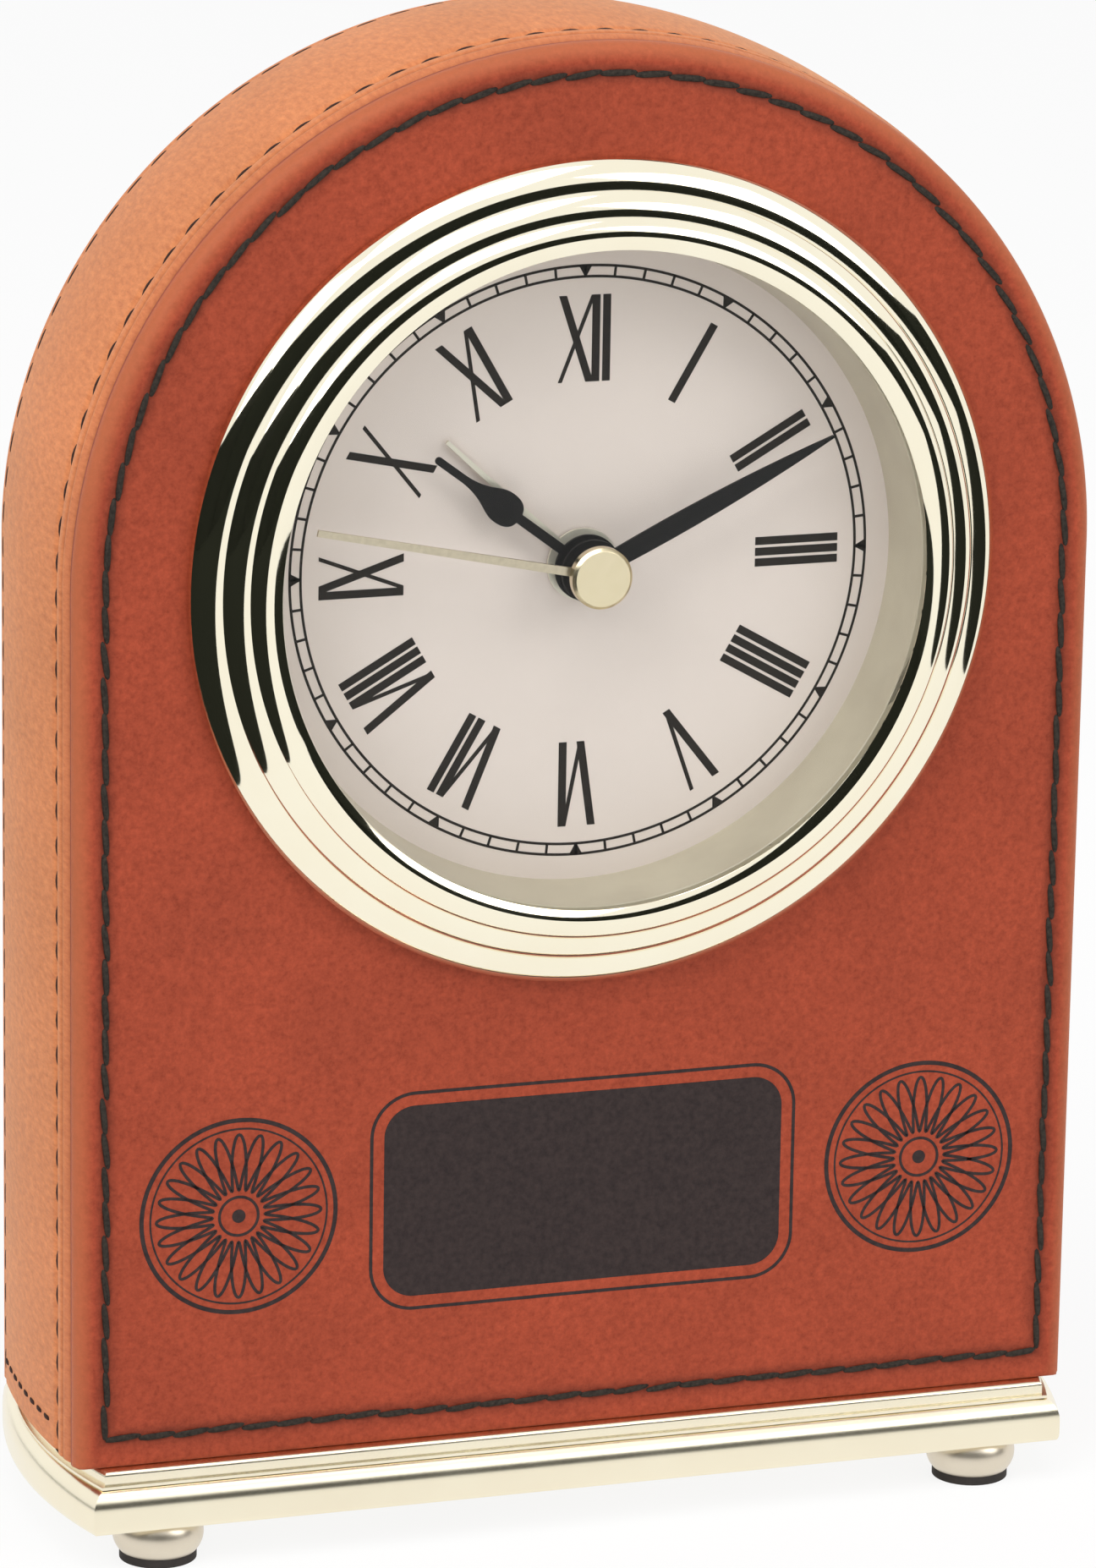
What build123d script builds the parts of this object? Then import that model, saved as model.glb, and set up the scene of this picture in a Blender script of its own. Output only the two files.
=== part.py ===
from build123d import *
import math
import os

# Arched leather mantel clock with a quartz alarm movement, in millimetres.
# World frame: +X right, +Y back, +Z up, origin on the table under the middle of the whole clock.
# Most pieces are drawn in the clock frame and then placed: x right, y up from the hands' axis,
# z towards the viewer with zero on the leather front, so a depth behind the front is negative.

# Case
AXIS_HEIGHT = 99.4        # table to the hands' axis, which is also the centre of the arch
CASE_DEPTH = 32.0         # leather front to leather back
PANEL_EDGE = 53.0         # half width of the front panel, and radius of its arch
PANEL_T = 2.2             # padded leather front panel
PANEL_ROLL = 1.7          # roll of the panel's front edge
CREASE = 0.6              # how far the band sits in from the panel's edge, at the seam
BAND_BULGE = 1.2          # swell of the band between its two edges
HEM_W = 4.4               # turned hem along the band's front edge
HEM_GROOVE = 0.35         # depth of the stitched groove behind the hem
SKIN_T = 1.2              # leather band
SHELL_WALL = 3.0          # moulded shell: sides and arch
SHELL_FRONT = 2.8         # moulded shell: front wall
SHELL_FLOOR = 4.0         # moulded shell: bottom wall
BACK_T = 1.6              # back board
BACK_GAP = 0.2            # back board to the band round it
BACK_MARGIN = 2.0         # window's edge to the movement behind the dial
BACK_WINDOW_R = 5.0

# Base and feet
PAD_T = 0.9
PAD_R = 3.9
FOOT_H = 3.6
FOOT_R = 4.6
FOOT_NECK_R = 3.9
STUD_R = 1.5
STUD_L = 3.0
FOOT_IN_X = 9.4           # foot centres in from the leather's sides
FOOT_IN_Y = 2.4           # foot centres in from the leather's front and back
BASE_CORNER_IN = 1.5      # ends of the straight front edge, in from the leather's sides
BASE_END_OUT = 1.3        # crown of the curved ends, out from the leather's sides
BASE_OVERHANG = 2.6       # base front ahead of the leather front
SLAB_H = 4.4
SLAB_ROUND = 1.6
LINE_H = 0.3
LINE_INSET = 1.1
TOP_STEP_H = 1.4
TOP_STEP_INSET = 1.5
TOP_STEP_ROUND = 0.5

# Bezel, lens and dial
BEZEL_BORDER = 11.5       # leather left between the bezel and the panel's edge
BEZEL_W = 8.3             # bezel's outer edge to the sight opening
BEZEL_LAND = 3.3          # bezel's edge past the sleeve that goes through the front wall
RIM_T = 0.5
SLEEVE_WALL = 4.0
FLANGE_W = 2.8            # the bezel's outer ring
FLANGE_H = 1.2            # its upright edge
STEP_W = 2.4              # the bezel's middle ring
STEP_BULGE = 0.14         # how far each ring rounds out, as a share of its width
RIM_LAND = 0.3            # flat top of the rim
RIM_BEVEL_W = 1.0         # bevel that falls from the rim to the glass
RIM_BEVEL_H = 0.35
LENS_T = 1.2
DIAL_T = 0.6
RING_FLARE = 0.7          # how much the dial ring narrows from the rim to the dial
HOLDER_LAND = 5.8         # holder's edge past the sleeve
HOLDER_T = 2.0

# Movement
CASE_WALL = 1.5
EAR_W = 8.0
EAR_L = 5.0
LID_T = 1.5
PARTITION_Y = -11.5       # battery bay below, wheels above
PARTITION_T = 1.3
CELL_R = 7.1
CELL_L = 50.5
CELL_NUB_R = 2.75
CELL_NUB_L = 1.2
CELL_PLAY = 0.4           # cell to the walls of its bay
STRIP_T = 0.4             # battery contact strip
STRIP_W = 8.0
SPRING_ROOM = 1.7         # for the minus contact's spring
STATOR_T = 1.0
STATOR_HALF = 8.4         # stator plate, from the rotor to each side
STATOR_BELOW = 4.0        # from the rotor down
STATOR_ABOVE = 3.9        # from the rotor up
COIL_R = 2.6
COIL_GAP = 0.9            # stator plate to the coil
COIL_WALL_GAP = 0.6       # coil's core to the wall above
BOARD_T = 1.0
BOARD_W = 18.5
BOARD_H = 10.5
BOARD_SIDE_GAP = 0.5      # board to the wall beside it
BOARD_TOP_GAP = 4.0       # board to the wall above it
WHEEL_T = 0.8
LAYER_START = 0.6         # front plate to the first wheel
LAYER_PITCH = 1.75        # one layer of wheels to the next
LAYERS = 7
LAYER_END = 0.65          # last layer to the lid
PIVOT_R = 0.3
PIVOT_L = 0.8
PIVOT_END = 0.2
SET_ARBOR_R = 1.2         # the two arbors that carry the setting knobs

# Shafts, from the second hand's arbor outwards
SECOND_R = 0.4
MINUTE_R = 1.0
HOUR_R = 1.75
ALARM_R = 2.5
NECK_R = 3.3

# Hands: heights are from the dial's face to the back of the hand
HAND_T = 0.35
ALARM_HAND_Z = 0.35
HOUR_HAND_Z = 1.9
MINUTE_HAND_Z = 3.6
SECOND_HAND_Z = 5.55
CAP_T = 1.3
CAP_R = 3.1
CAP_LENS_GAP = 0.5        # second hand's cap to the glass
ALARM_HAND_SHARE = 0.594  # lengths, as shares of the dial's sight radius
HOUR_HAND_SHARE = 0.606
MINUTE_HAND_SHARE = 0.855
SECOND_HAND_SHARE = 0.905
ALARM_ANGLE = 312.8       # degrees clockwise from twelve, as in the photograph
HOUR_ANGLE = 307.0
MINUTE_ANGLE = 63.8
SECOND_ANGLE = 281.8
ALARM_HUB_R = 3.65
HOUR_HUB_R = 3.35
MINUTE_HUB_R = 3.2

# Setting knobs, alarm switch and screws
KNOB_R = 4.4
KNOB_H = 4.0
KNOB_GAP = 0.4
SWITCH_TRAVEL = 4.0
SWITCH_THUMB = 3.2
SCREW_R = 1.1
SCREW_HEAD_R = 2.0
SCREW_HEAD_T = 1.0
SCREW_SPREAD = 30.0       # degrees from upright of the screws round the holder and the arch
BACK_SCREW_GRIP = 8.0     # thread in the shell
LID_SCREW_GRIP = 6.0      # thread in the tray
BASE_SCREW_IN = 23.0      # base screws in from the leather's sides
BASE_SCREW_R = 1.6
BASE_SCREW_HEAD_R = 3.0
BASE_SCREW_HEAD_T = 1.8

# Clearances
RUN = 0.05                # running fit, on the radius
SLIP = 0.2                # a piece dropped into its seat, on the radius
LIFT = 0.1                # sliding piece to its guide

# Places worked out from the sizes above
FOOT_X = PANEL_EDGE - FOOT_IN_X
FOOT_Y = CASE_DEPTH / 2 - FOOT_IN_Y
BASE_CORNER_X = PANEL_EDGE - BASE_CORNER_IN
BASE_END_X = PANEL_EDGE + BASE_END_OUT
BASE_SCREW_X = PANEL_EDGE - BASE_SCREW_IN
BASE_BOTTOM = PAD_T + FOOT_H
BASE_TOP = BASE_BOTTOM + SLAB_H + LINE_H + TOP_STEP_H
LEG = AXIS_HEIGHT - BASE_TOP
BAND_EDGE = PANEL_EDGE - CREASE
BAND_FRONT = PANEL_T
BAND_REAR = CASE_DEPTH - CREASE
SHELL_REAR = BAND_REAR - BACK_T
SEAT = PANEL_T + SHELL_FRONT            # dial back, sleeve end and holder all meet here
BEZEL_R = PANEL_EDGE - BEZEL_BORDER
SLEEVE_R = BEZEL_R - BEZEL_LAND
RIM_R = BEZEL_R - BEZEL_W
DIAL_SIGHT_R = RIM_R - RING_FLARE
HOLDER_R = SLEEVE_R + HOLDER_LAND
ALARM_HAND_L = ALARM_HAND_SHARE * DIAL_SIGHT_R
HOUR_HAND_L = HOUR_HAND_SHARE * DIAL_SIGHT_R
MINUTE_HAND_L = MINUTE_HAND_SHARE * DIAL_SIGHT_R
SECOND_HAND_L = SECOND_HAND_SHARE * DIAL_SIGHT_R
DIAL_FACE = -(SEAT - DIAL_T)
LENS_R = SLEEVE_R - SLEEVE_WALL - RUN
LENS_BACK = DIAL_FACE + SECOND_HAND_Z + HAND_T + CAP_T + CAP_LENS_GAP
BEZEL_RISE = LENS_BACK + LENS_T + RIM_T   # front of the bezel's rim ahead of the leather
MIDDLE_Y = (BEZEL_RISE - BASE_OVERHANG) / 2   # the bezel reaches further forward than the base does back
FRONT_Y = MIDDLE_Y - CASE_DEPTH / 2
MOVEMENT_FRONT = SEAT + HOLDER_T
TRAY_FLOOR = MOVEMENT_FRONT + CASE_WALL
TRAY_REAR = TRAY_FLOOR + LAYER_START + LAYERS * LAYER_PITCH + LAYER_END
LID_REAR = TRAY_REAR + LID_T
INNER_X = (CELL_L + 2 * STRIP_T + SPRING_ROOM) / 2    # inside of the tray, from the axis to each side
INNER_LOW = PARTITION_Y - 2 * (CELL_R + CELL_PLAY)
NECK_BORE = ALARM_R + RUN
NECK_HOLE = NECK_R + RUN

# The gear train: second to minute is 60 to 1, minute to hour 12 to 1, rotor 30 turns a minute.
SECOND_MODULE = 0.28
ROTOR_MODULE = 0.25
SETTING_MODULE = 0.45
ALARM_MODULE = 0.4
SECOND_TEETH, REDUCTION_LEAVES = 60, 10
REDUCTION_TEETH, ROTOR_LEAVES = 50, 10
SECOND_LEAVES, THIRD_TEETH = 8, 60
THIRD_LEAVES, MINUTE_TEETH = 8, 64
MINUTE_LEAVES, TRANSFER_TEETH = 12, 36
TRANSFER_LEAVES, HOUR_TEETH = 10, 40
ALARM_TEETH, ALARM_SET_TEETH = 40, 20
THIRD_REACH = SECOND_MODULE * (SECOND_LEAVES + THIRD_TEETH) / 2
MINUTE_MODULE = 2 * THIRD_REACH / (THIRD_LEAVES + MINUTE_TEETH)
TRANSFER_REACH = SETTING_MODULE * (MINUTE_LEAVES + TRANSFER_TEETH) / 2
HOUR_MODULE = 2 * TRANSFER_REACH / (TRANSFER_LEAVES + HOUR_TEETH)
REDUCTION_REACH = SECOND_MODULE * (SECOND_TEETH + REDUCTION_LEAVES) / 2
ROTOR_REACH = ROTOR_MODULE * (REDUCTION_TEETH + ROTOR_LEAVES) / 2
ALARM_REACH = ALARM_MODULE * (ALARM_TEETH + ALARM_SET_TEETH) / 2
THIRD_BEARING = 170.0     # directions of the arbors from the axis, degrees from +x
TRANSFER_BEARING = 35.0
REDUCTION_BEARING = 100.0
ALARM_SET_BEARING = -25.0
ROTOR_BEARING = 125.0     # from the reduction arbor
ALARM_LAYER, HOUR_LAYER, SETTING_LAYER, MINUTE_LAYER = 0, 1, 2, 3
THIRD_LAYER, SECOND_LAYER, ROTOR_LAYER = 4, 5, 6


def polar(reach, bearing):
    """The point at a distance and a direction, in degrees from +x."""
    return reach * math.cos(math.radians(bearing)), reach * math.sin(math.radians(bearing))


THIRD_AT = polar(THIRD_REACH, THIRD_BEARING)
TRANSFER_AT = polar(TRANSFER_REACH, TRANSFER_BEARING)
REDUCTION_AT = polar(REDUCTION_REACH, REDUCTION_BEARING)
ALARM_SET_AT = polar(ALARM_REACH, ALARM_SET_BEARING)
ROTOR_STEP = polar(ROTOR_REACH, ROTOR_BEARING)
ROTOR_AT = (REDUCTION_AT[0] + ROTOR_STEP[0], REDUCTION_AT[1] + ROTOR_STEP[1])
STATOR_X0, STATOR_X1 = ROTOR_AT[0] - STATOR_HALF, ROTOR_AT[0] + STATOR_HALF
STATOR_Y0, STATOR_Y1 = ROTOR_AT[1] - STATOR_BELOW, ROTOR_AT[1] + STATOR_ABOVE
CORE_Y = STATOR_Y1 + COIL_GAP + COIL_R
ARM_TOP = CORE_Y + COIL_R + LIFT
INNER_TOP = ARM_TOP + COIL_WALL_GAP
OUTER_X = INNER_X + CASE_WALL
OUTER_LOW = INNER_LOW - CASE_WALL
OUTER_TOP = INNER_TOP + CASE_WALL


def in_place(shape):
    """Move a piece drawn in the clock frame to its place in the world frame."""
    return Pos(0, FRONT_Y, AXIS_HEIGHT) * Rot(90, 0, 0) * shape


def rod(radius, low, high, at=(0, 0)):
    """Solid cylinder along the hands' axis between two clock-frame depths."""
    middle = (low + high) / 2
    return Pos(at[0], at[1], middle) * Cylinder(radius, high - low)


def tube(outer, inner, low, high, at=(0, 0)):
    """Hollow cylinder along the hands' axis."""
    return rod(outer, low, high, at) - rod(inner, low, high, at)


def block(x0, x1, y0, y1, low, high):
    """Box between two corners of the clock frame."""
    box = Box(x1 - x0, y1 - y0, high - low, align=(Align.MIN, Align.MIN, Align.MIN))
    return Pos(x0, y0, low) * box


def turned(outline):
    """Full revolution, about the hands' axis, of a closed outline drawn as radius and depth."""
    return revolve(Plane.XZ * make_face(outline), Axis.Z)


def layer_top(layer):
    """Clock-frame depth of the front face of a layer of wheels."""
    return -(TRAY_FLOOR + LAYER_START + layer * LAYER_PITCH)


def band_radius(depth):
    """Outer radius of the leather band at a depth behind the front: a shallow circular swell."""
    half = (BAND_REAR - BAND_FRONT) / 2
    swell = (half ** 2 + BAND_BULGE ** 2) / (2 * BAND_BULGE)
    away = depth - (BAND_FRONT + BAND_REAR) / 2
    return BAND_EDGE + BAND_BULGE - swell + math.sqrt(swell ** 2 - away ** 2)


def swell_arc(front, rear, inset):
    """The band's outer line between two depths, moved in by an inset."""
    middle = (front + rear) / 2
    ends = [(band_radius(depth) - inset, -depth) for depth in (front, middle, rear)]
    return ThreePointArc(*ends)


def arch_over(outline):
    """Carry a closed section over the arch and down both legs: one revolve and two extrusions."""
    section = Plane.XZ * make_face(outline)
    arch = revolve(section, Axis.Z, 180)
    leg = extrude(section, LEG)
    return arch + leg + mirror(leg, Plane.YZ)


def arch_block(front, rear, inset, drop):
    """Solid arch that follows the band's swell: a half round over straight legs of length drop."""
    side = swell_arc(front, rear, inset)
    rest = Polyline(side @ 1, (0, -rear), (0, -front), side @ 0)
    section = Plane.XZ * make_face(side + rest)
    half = extrude(section, drop)
    return revolve(section, Axis.Z, 180) + half + mirror(half, Plane.YZ)


def arch_plate(radius, front, rear, drop):
    """Flat plate with a round top, between two depths."""
    arch = Polyline((-radius, 0), (-radius, -drop), (radius, -drop), (radius, 0))
    face = make_face(arch + ThreePointArc((radius, 0), (0, radius), (-radius, 0)))
    return Pos(0, 0, -rear) * extrude(face, rear - front)


def screw(at, seat, length, head_up, radius=SCREW_R, head_r=SCREW_HEAD_R, head_t=SCREW_HEAD_T):
    """Round-headed screw: seat is where its head bears, head_up is +1 if the head is nearer the viewer."""
    shank_low, shank_high = sorted((seat, seat - head_up * length))
    head_low, head_high = sorted((seat, seat + head_up * head_t))
    return rod(radius, shank_low, shank_high, at) + rod(head_r, head_low, head_high, at)


def gear(teeth, module, layer, at, towards, tooth):
    """Straight-flanked spur wheel. towards is the bearing of the mate; tooth is 0 to point a tooth
    there and 1 to point a gap there. Teeth are a little thin, so that each pair runs with play."""
    pitch_r = teeth * module / 2
    tip_r = pitch_r + 0.72 * module
    root_r = pitch_r - 1.2 * module
    step = 2 * math.pi / teeth
    tip_half = 0.30 * module / tip_r
    root_half = 0.78 * module / root_r
    points = []
    for number in range(teeth):
        middle = math.radians(towards) + (number + 0.5 * tooth) * step
        corners = (root_r, -root_half), (tip_r, -tip_half), (tip_r, tip_half), (root_r, root_half)
        for radius, angle in corners:
            points.append((radius * math.cos(middle + angle), radius * math.sin(middle + angle)))
    blank = extrude(make_face(Polyline(*points, close=True)), -WHEEL_T)
    return Pos(at[0], at[1], layer_top(layer)) * blank


def arbor(at):
    """Steel arbor with thin pivots that run in the tray floor and in the lid."""
    low = -(TRAY_REAR + PIVOT_L - PIVOT_END)
    high = -(TRAY_FLOOR - PIVOT_L + PIVOT_END)
    return rod(PIVOT_R, low, high, at)


def drop_hand(outline, height, hub_r, bore_r, angle):
    """Flat hand cut from sheet: the outline points to twelve and is then turned clockwise."""
    sheet = make_face(outline) + Circle(hub_r) - Circle(bore_r)
    return Pos(0, 0, DIAL_FACE + height) * Rot(0, 0, -angle) * extrude(sheet, HAND_T)


# Base with a slab, a fine line and a stepped top, all on one plan with curved ends
def base_plan(inset):
    half = CASE_DEPTH / 2 + BASE_OVERHANG - inset
    corner = BASE_CORNER_X - inset
    end = BASE_END_X - inset
    right = ThreePointArc((corner, -half), (end, 0), (corner, half))
    rear = Line((corner, half), (-corner, half))
    left = ThreePointArc((-corner, half), (-end, 0), (-corner, -half))
    front = Line((-corner, -half), (corner, -half))
    return make_face(right + rear + left + front)


def top_edges(solid):
    return solid.edges().group_by(Axis.Z)[-1]


FOOT_PLACES = [(x, MIDDLE_Y + y) for x in (-FOOT_X, FOOT_X) for y in (-FOOT_Y, FOOT_Y)]
slab = Pos(0, MIDDLE_Y, BASE_BOTTOM) * extrude(base_plan(0), SLAB_H)
slab = fillet(top_edges(slab), SLAB_ROUND)
line_z = BASE_BOTTOM + SLAB_H
line_step = Pos(0, MIDDLE_Y, line_z) * extrude(base_plan(LINE_INSET), LINE_H)
top_step = Pos(0, MIDDLE_Y, line_z + LINE_H) * extrude(base_plan(TOP_STEP_INSET), TOP_STEP_H)
top_step = fillet(top_edges(top_step), TOP_STEP_ROUND)
base_plate = slab + line_step + top_step
for x, y in FOOT_PLACES:
    stud_hole = Pos(x, y, BASE_BOTTOM + (STUD_L + SLIP) / 2) * Cylinder(STUD_R + RUN, STUD_L + SLIP)
    base_plate -= stud_hole
BASE_H = BASE_TOP - BASE_BOTTOM
for x in (-BASE_SCREW_X, BASE_SCREW_X):
    base_plate -= Pos(x, MIDDLE_Y, BASE_BOTTOM + BASE_H / 2) * Cylinder(BASE_SCREW_R + RUN, BASE_H)
    sink = BASE_SCREW_HEAD_T + SLIP
    base_plate -= Pos(x, MIDDLE_Y, BASE_BOTTOM + sink / 2) * Cylinder(BASE_SCREW_HEAD_R + SLIP, sink)


# Turned ball feet with studs, and their rubber pads
def foot(x, y):
    low, high = PAD_T, PAD_T + FOOT_H
    side = ThreePointArc((PAD_R, low), (FOOT_R, low + 0.55 * FOOT_H), (FOOT_NECK_R, high))
    top = high + STUD_L
    rest = Polyline((FOOT_NECK_R, high), (STUD_R, high), (STUD_R, top), (0, top), (0, low), (PAD_R, low))
    return Pos(x, y, 0) * revolve(Plane.XZ * make_face(side + rest), Axis.Z)


ball_feet = Compound(children=[foot(x, y) for x, y in FOOT_PLACES])
foot_pads = Compound(children=[Pos(x, y, PAD_T / 2) * Cylinder(PAD_R, PAD_T) for x, y in FOOT_PLACES])


# Screws that hold the case on the base
def base_screw(x):
    head_z = BASE_BOTTOM + SLIP
    shank_top = BASE_TOP + 0.8 * SHELL_FLOOR
    head = Pos(x, MIDDLE_Y, head_z + BASE_SCREW_HEAD_T / 2) * Cylinder(BASE_SCREW_HEAD_R, BASE_SCREW_HEAD_T)
    shank = Pos(x, MIDDLE_Y, (head_z + shank_top) / 2) * Cylinder(BASE_SCREW_R, shank_top - head_z)
    return head + shank


base_screws = Compound(children=[base_screw(x) for x in (-BASE_SCREW_X, BASE_SCREW_X)])

# Moulded shell: front wall with the bezel's hole, arch, floor, and bosses for the back's screws
BEZEL_HOLE = SLEEVE_R + SLIP
shell = arch_block(PANEL_T, SHELL_REAR, SKIN_T, LEG)
shell -= arch_block(SEAT, SHELL_REAR + 1, SKIN_T + SHELL_WALL, LEG - SHELL_FLOOR)
shell -= rod(BEZEL_HOLE, -SEAT, -PANEL_T)
BOSS_R = SCREW_R + 1.6
SHELL_INNER = band_radius(SHELL_REAR) - SKIN_T - SHELL_WALL
boss_out = SHELL_INNER - 0.6 * BOSS_R
low_boss_y = -LEG + SHELL_FLOOR + BOSS_R
BACK_SCREWS = [polar(boss_out, 90 + side * SCREW_SPREAD) for side in (-1, 1)]
BACK_SCREWS += [(side * boss_out, low_boss_y) for side in (-1, 1)]
BACK_SCREW_L = BACK_T + BACK_SCREW_GRIP
for at in BACK_SCREWS:
    shell += rod(BOSS_R, -SHELL_REAR, -(MOVEMENT_FRONT + SLIP), at)
for at in BACK_SCREWS:
    shell -= rod(SCREW_R, -SHELL_REAR, -(SHELL_REAR - BACK_SCREW_L + BACK_T), at)
holder_reach = (BEZEL_HOLE + HOLDER_R) / 2
HOLDER_SCREW_AT = [polar(holder_reach, up + side * SCREW_SPREAD) for up in (90, 270) for side in (-1, 1)]
HOLDER_SCREW_L = HOLDER_T + 0.8 * SHELL_FRONT
for at in HOLDER_SCREW_AT:
    shell -= rod(SCREW_R, -SEAT, -(SEAT - HOLDER_SCREW_L + HOLDER_T), at)
for x in (-BASE_SCREW_X, BASE_SCREW_X):
    hole = Rot(90, 0, 0) * Cylinder(BASE_SCREW_R, 0.8 * SHELL_FLOOR)
    shell -= Pos(x, -LEG + 0.4 * SHELL_FLOOR, -CASE_DEPTH / 2) * hole
case_shell = in_place(shell)

# Padded leather front, rolled at its edge, with the hole that the bezel covers
panel = arch_plate(PANEL_EDGE, 0, PANEL_T, LEG)
panel = fillet(panel.edges().group_by(Axis.Z)[-1], PANEL_ROLL)
panel -= rod(BEZEL_HOLE, -PANEL_T, 0)
front_panel = in_place(panel)

# Leather band: a rounded hem at the front, a groove for its stitches, then the swell to the rear
hem_rear = BAND_FRONT + HEM_W
hem_mid = (BAND_FRONT + hem_rear) / 2
groove_r = band_radius(hem_rear) - HEM_GROOVE
hem_arc = ThreePointArc(
    (band_radius(BAND_FRONT), -BAND_FRONT),
    (band_radius(hem_mid) + 0.3 * HEM_GROOVE, -hem_mid),
    (groove_r, -hem_rear),
)
groove_end = hem_rear + 2 * HEM_GROOVE
groove_side = Line((groove_r, -hem_rear), (band_radius(groove_end), -groove_end))
band_back = swell_arc(groove_end, BAND_REAR, 0)
band_inside = swell_arc(BAND_FRONT, BAND_REAR, SKIN_T)
band_section = (
    hem_arc + groove_side + band_back
    + Line(band_back @ 1, band_inside @ 1) + band_inside
    + Line(band_inside @ 0, hem_arc @ 0)
)
side_band = in_place(arch_over(band_section))

# Back board in the rear of the band, with a window for the movement, and its screws
back = arch_plate(band_radius(BAND_REAR) - SKIN_T - BACK_GAP, SHELL_REAR, BAND_REAR, LEG)
WINDOW_W = 2 * (OUTER_X + BACK_MARGIN)
WINDOW_H = OUTER_TOP - OUTER_LOW + 2 * BACK_MARGIN
window = extrude(RectangleRounded(WINDOW_W, WINDOW_H, BACK_WINDOW_R), BACK_T)
back -= Pos(0, (OUTER_TOP + OUTER_LOW) / 2, -BAND_REAR) * window
for at in BACK_SCREWS:
    back -= rod(SCREW_R + RUN, -BAND_REAR, -SHELL_REAR, at)
back_board = in_place(back)
back_screw_set = [screw(at, -BAND_REAR, BACK_SCREW_L - RUN, -1) for at in BACK_SCREWS]
back_screws = in_place(Compound(children=back_screw_set))

# Stepped bezel: three rounded rings that climb to the rim, a bevel inside it, and a sleeve behind
RIM_EDGE = RIM_R + RIM_BEVEL_W + RIM_LAND
BEZEL_SLOPE = (BEZEL_RISE - FLANGE_H) / (BEZEL_R - RIM_EDGE)


def on_slope(radius, lift):
    """Point on the bezel's straight rise from the flange to the rim, lifted square to it."""
    lean = math.atan(BEZEL_SLOPE)
    height = FLANGE_H + BEZEL_SLOPE * (BEZEL_R - radius)
    return radius + lift * math.sin(lean), height + lift * math.cos(lean)


def rounded_ring(outer, inner):
    """Arc of one ring of the bezel, between two radii."""
    middle = on_slope((outer + inner) / 2, STEP_BULGE * (outer - inner))
    return ThreePointArc(on_slope(outer, 0), middle, on_slope(inner, 0))


ring_edges = [BEZEL_R, BEZEL_R - FLANGE_W, BEZEL_R - FLANGE_W - STEP_W, RIM_EDGE]
steps = Curve() + [rounded_ring(outer, inner) for outer, inner in zip(ring_edges, ring_edges[1:])]
seat_r = SLEEVE_R - SLEEVE_WALL
inside = [
    (RIM_EDGE, BEZEL_RISE), (RIM_R + RIM_BEVEL_W, BEZEL_RISE), (RIM_R, BEZEL_RISE - RIM_BEVEL_H),
    (RIM_R, BEZEL_RISE - RIM_T), (seat_r, BEZEL_RISE - RIM_T), (seat_r, -SEAT), (SLEEVE_R, -SEAT),
    (SLEEVE_R, 0), (BEZEL_R, 0), (BEZEL_R, FLANGE_H),
]
bezel = in_place(turned(steps + Polyline(*inside)))

# Flat glass, the dial ring that holds it against the rim, and the dial
lens = in_place(rod(LENS_R, LENS_BACK, LENS_BACK + LENS_T))
ring_outline = Polyline(
    (DIAL_SIGHT_R, DIAL_FACE), (LENS_R, DIAL_FACE), (LENS_R, LENS_BACK), (RIM_R, LENS_BACK), close=True
)
dial_ring = in_place(turned(ring_outline))
dial_plate = in_place(tube(LENS_R, NECK_HOLE, -SEAT, DIAL_FACE))

# Holder: the plate behind the dial that clamps it, carries the movement and is screwed to the shell
EAR_AT = [(side * (OUTER_X + EAR_L / 2), 0) for side in (-1, 1)]
EAR_SCREW_L = CASE_WALL + 0.8 * HOLDER_T
holder = rod(HOLDER_R, -MOVEMENT_FRONT, -SEAT) - rod(NECK_HOLE, -MOVEMENT_FRONT, -SEAT)
for at in HOLDER_SCREW_AT:
    holder -= rod(SCREW_R + RUN, -MOVEMENT_FRONT, -SEAT, at)
for at in EAR_AT:
    holder -= rod(SCREW_R, -MOVEMENT_FRONT, -(MOVEMENT_FRONT - EAR_SCREW_L + CASE_WALL), at)
holder_plate = in_place(holder)
holder_screws = in_place(
    Compound(children=[screw(at, -MOVEMENT_FRONT, HOLDER_SCREW_L - RUN, -1) for at in HOLDER_SCREW_AT])
)

# Movement tray: front plate with the neck, four walls, the battery partition, ears, posts and bosses
PARTITION_TOP = PARTITION_Y + PARTITION_T
tray = block(-OUTER_X, OUTER_X, OUTER_LOW, OUTER_TOP, -TRAY_REAR, -MOVEMENT_FRONT)
tray -= block(-INNER_X, INNER_X, PARTITION_TOP, INNER_TOP, -TRAY_REAR, -TRAY_FLOOR)
tray -= block(-INNER_X, INNER_X, INNER_LOW, PARTITION_Y, -TRAY_REAR, -TRAY_FLOOR)
for x, y in EAR_AT:
    ear = block(-EAR_L / 2, EAR_L / 2, -EAR_W / 2, EAR_W / 2, -TRAY_FLOOR, -MOVEMENT_FRONT)
    tray += Pos(x, y, 0) * ear
tray += rod(NECK_R, -MOVEMENT_FRONT, DIAL_FACE)
tray -= rod(NECK_BORE, -TRAY_FLOOR, DIAL_FACE)
for at in EAR_AT:
    tray -= rod(SCREW_R + RUN, -TRAY_FLOOR, -MOVEMENT_FRONT, at)
LID_BOSS_R = SCREW_R + 1.0
boss_x = INNER_X - LID_BOSS_R + 0.4
boss_high = INNER_TOP - LID_BOSS_R + 0.4
boss_low = PARTITION_TOP + LID_BOSS_R - 0.4
LID_SCREW_AT = [(side * boss_x, y) for y in (boss_high, boss_low) for side in (-1, 1)]
LID_SCREW_L = LID_T + LID_SCREW_GRIP
for at in LID_SCREW_AT:
    tray += rod(LID_BOSS_R, -TRAY_REAR, -TRAY_FLOOR, at)
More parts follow.
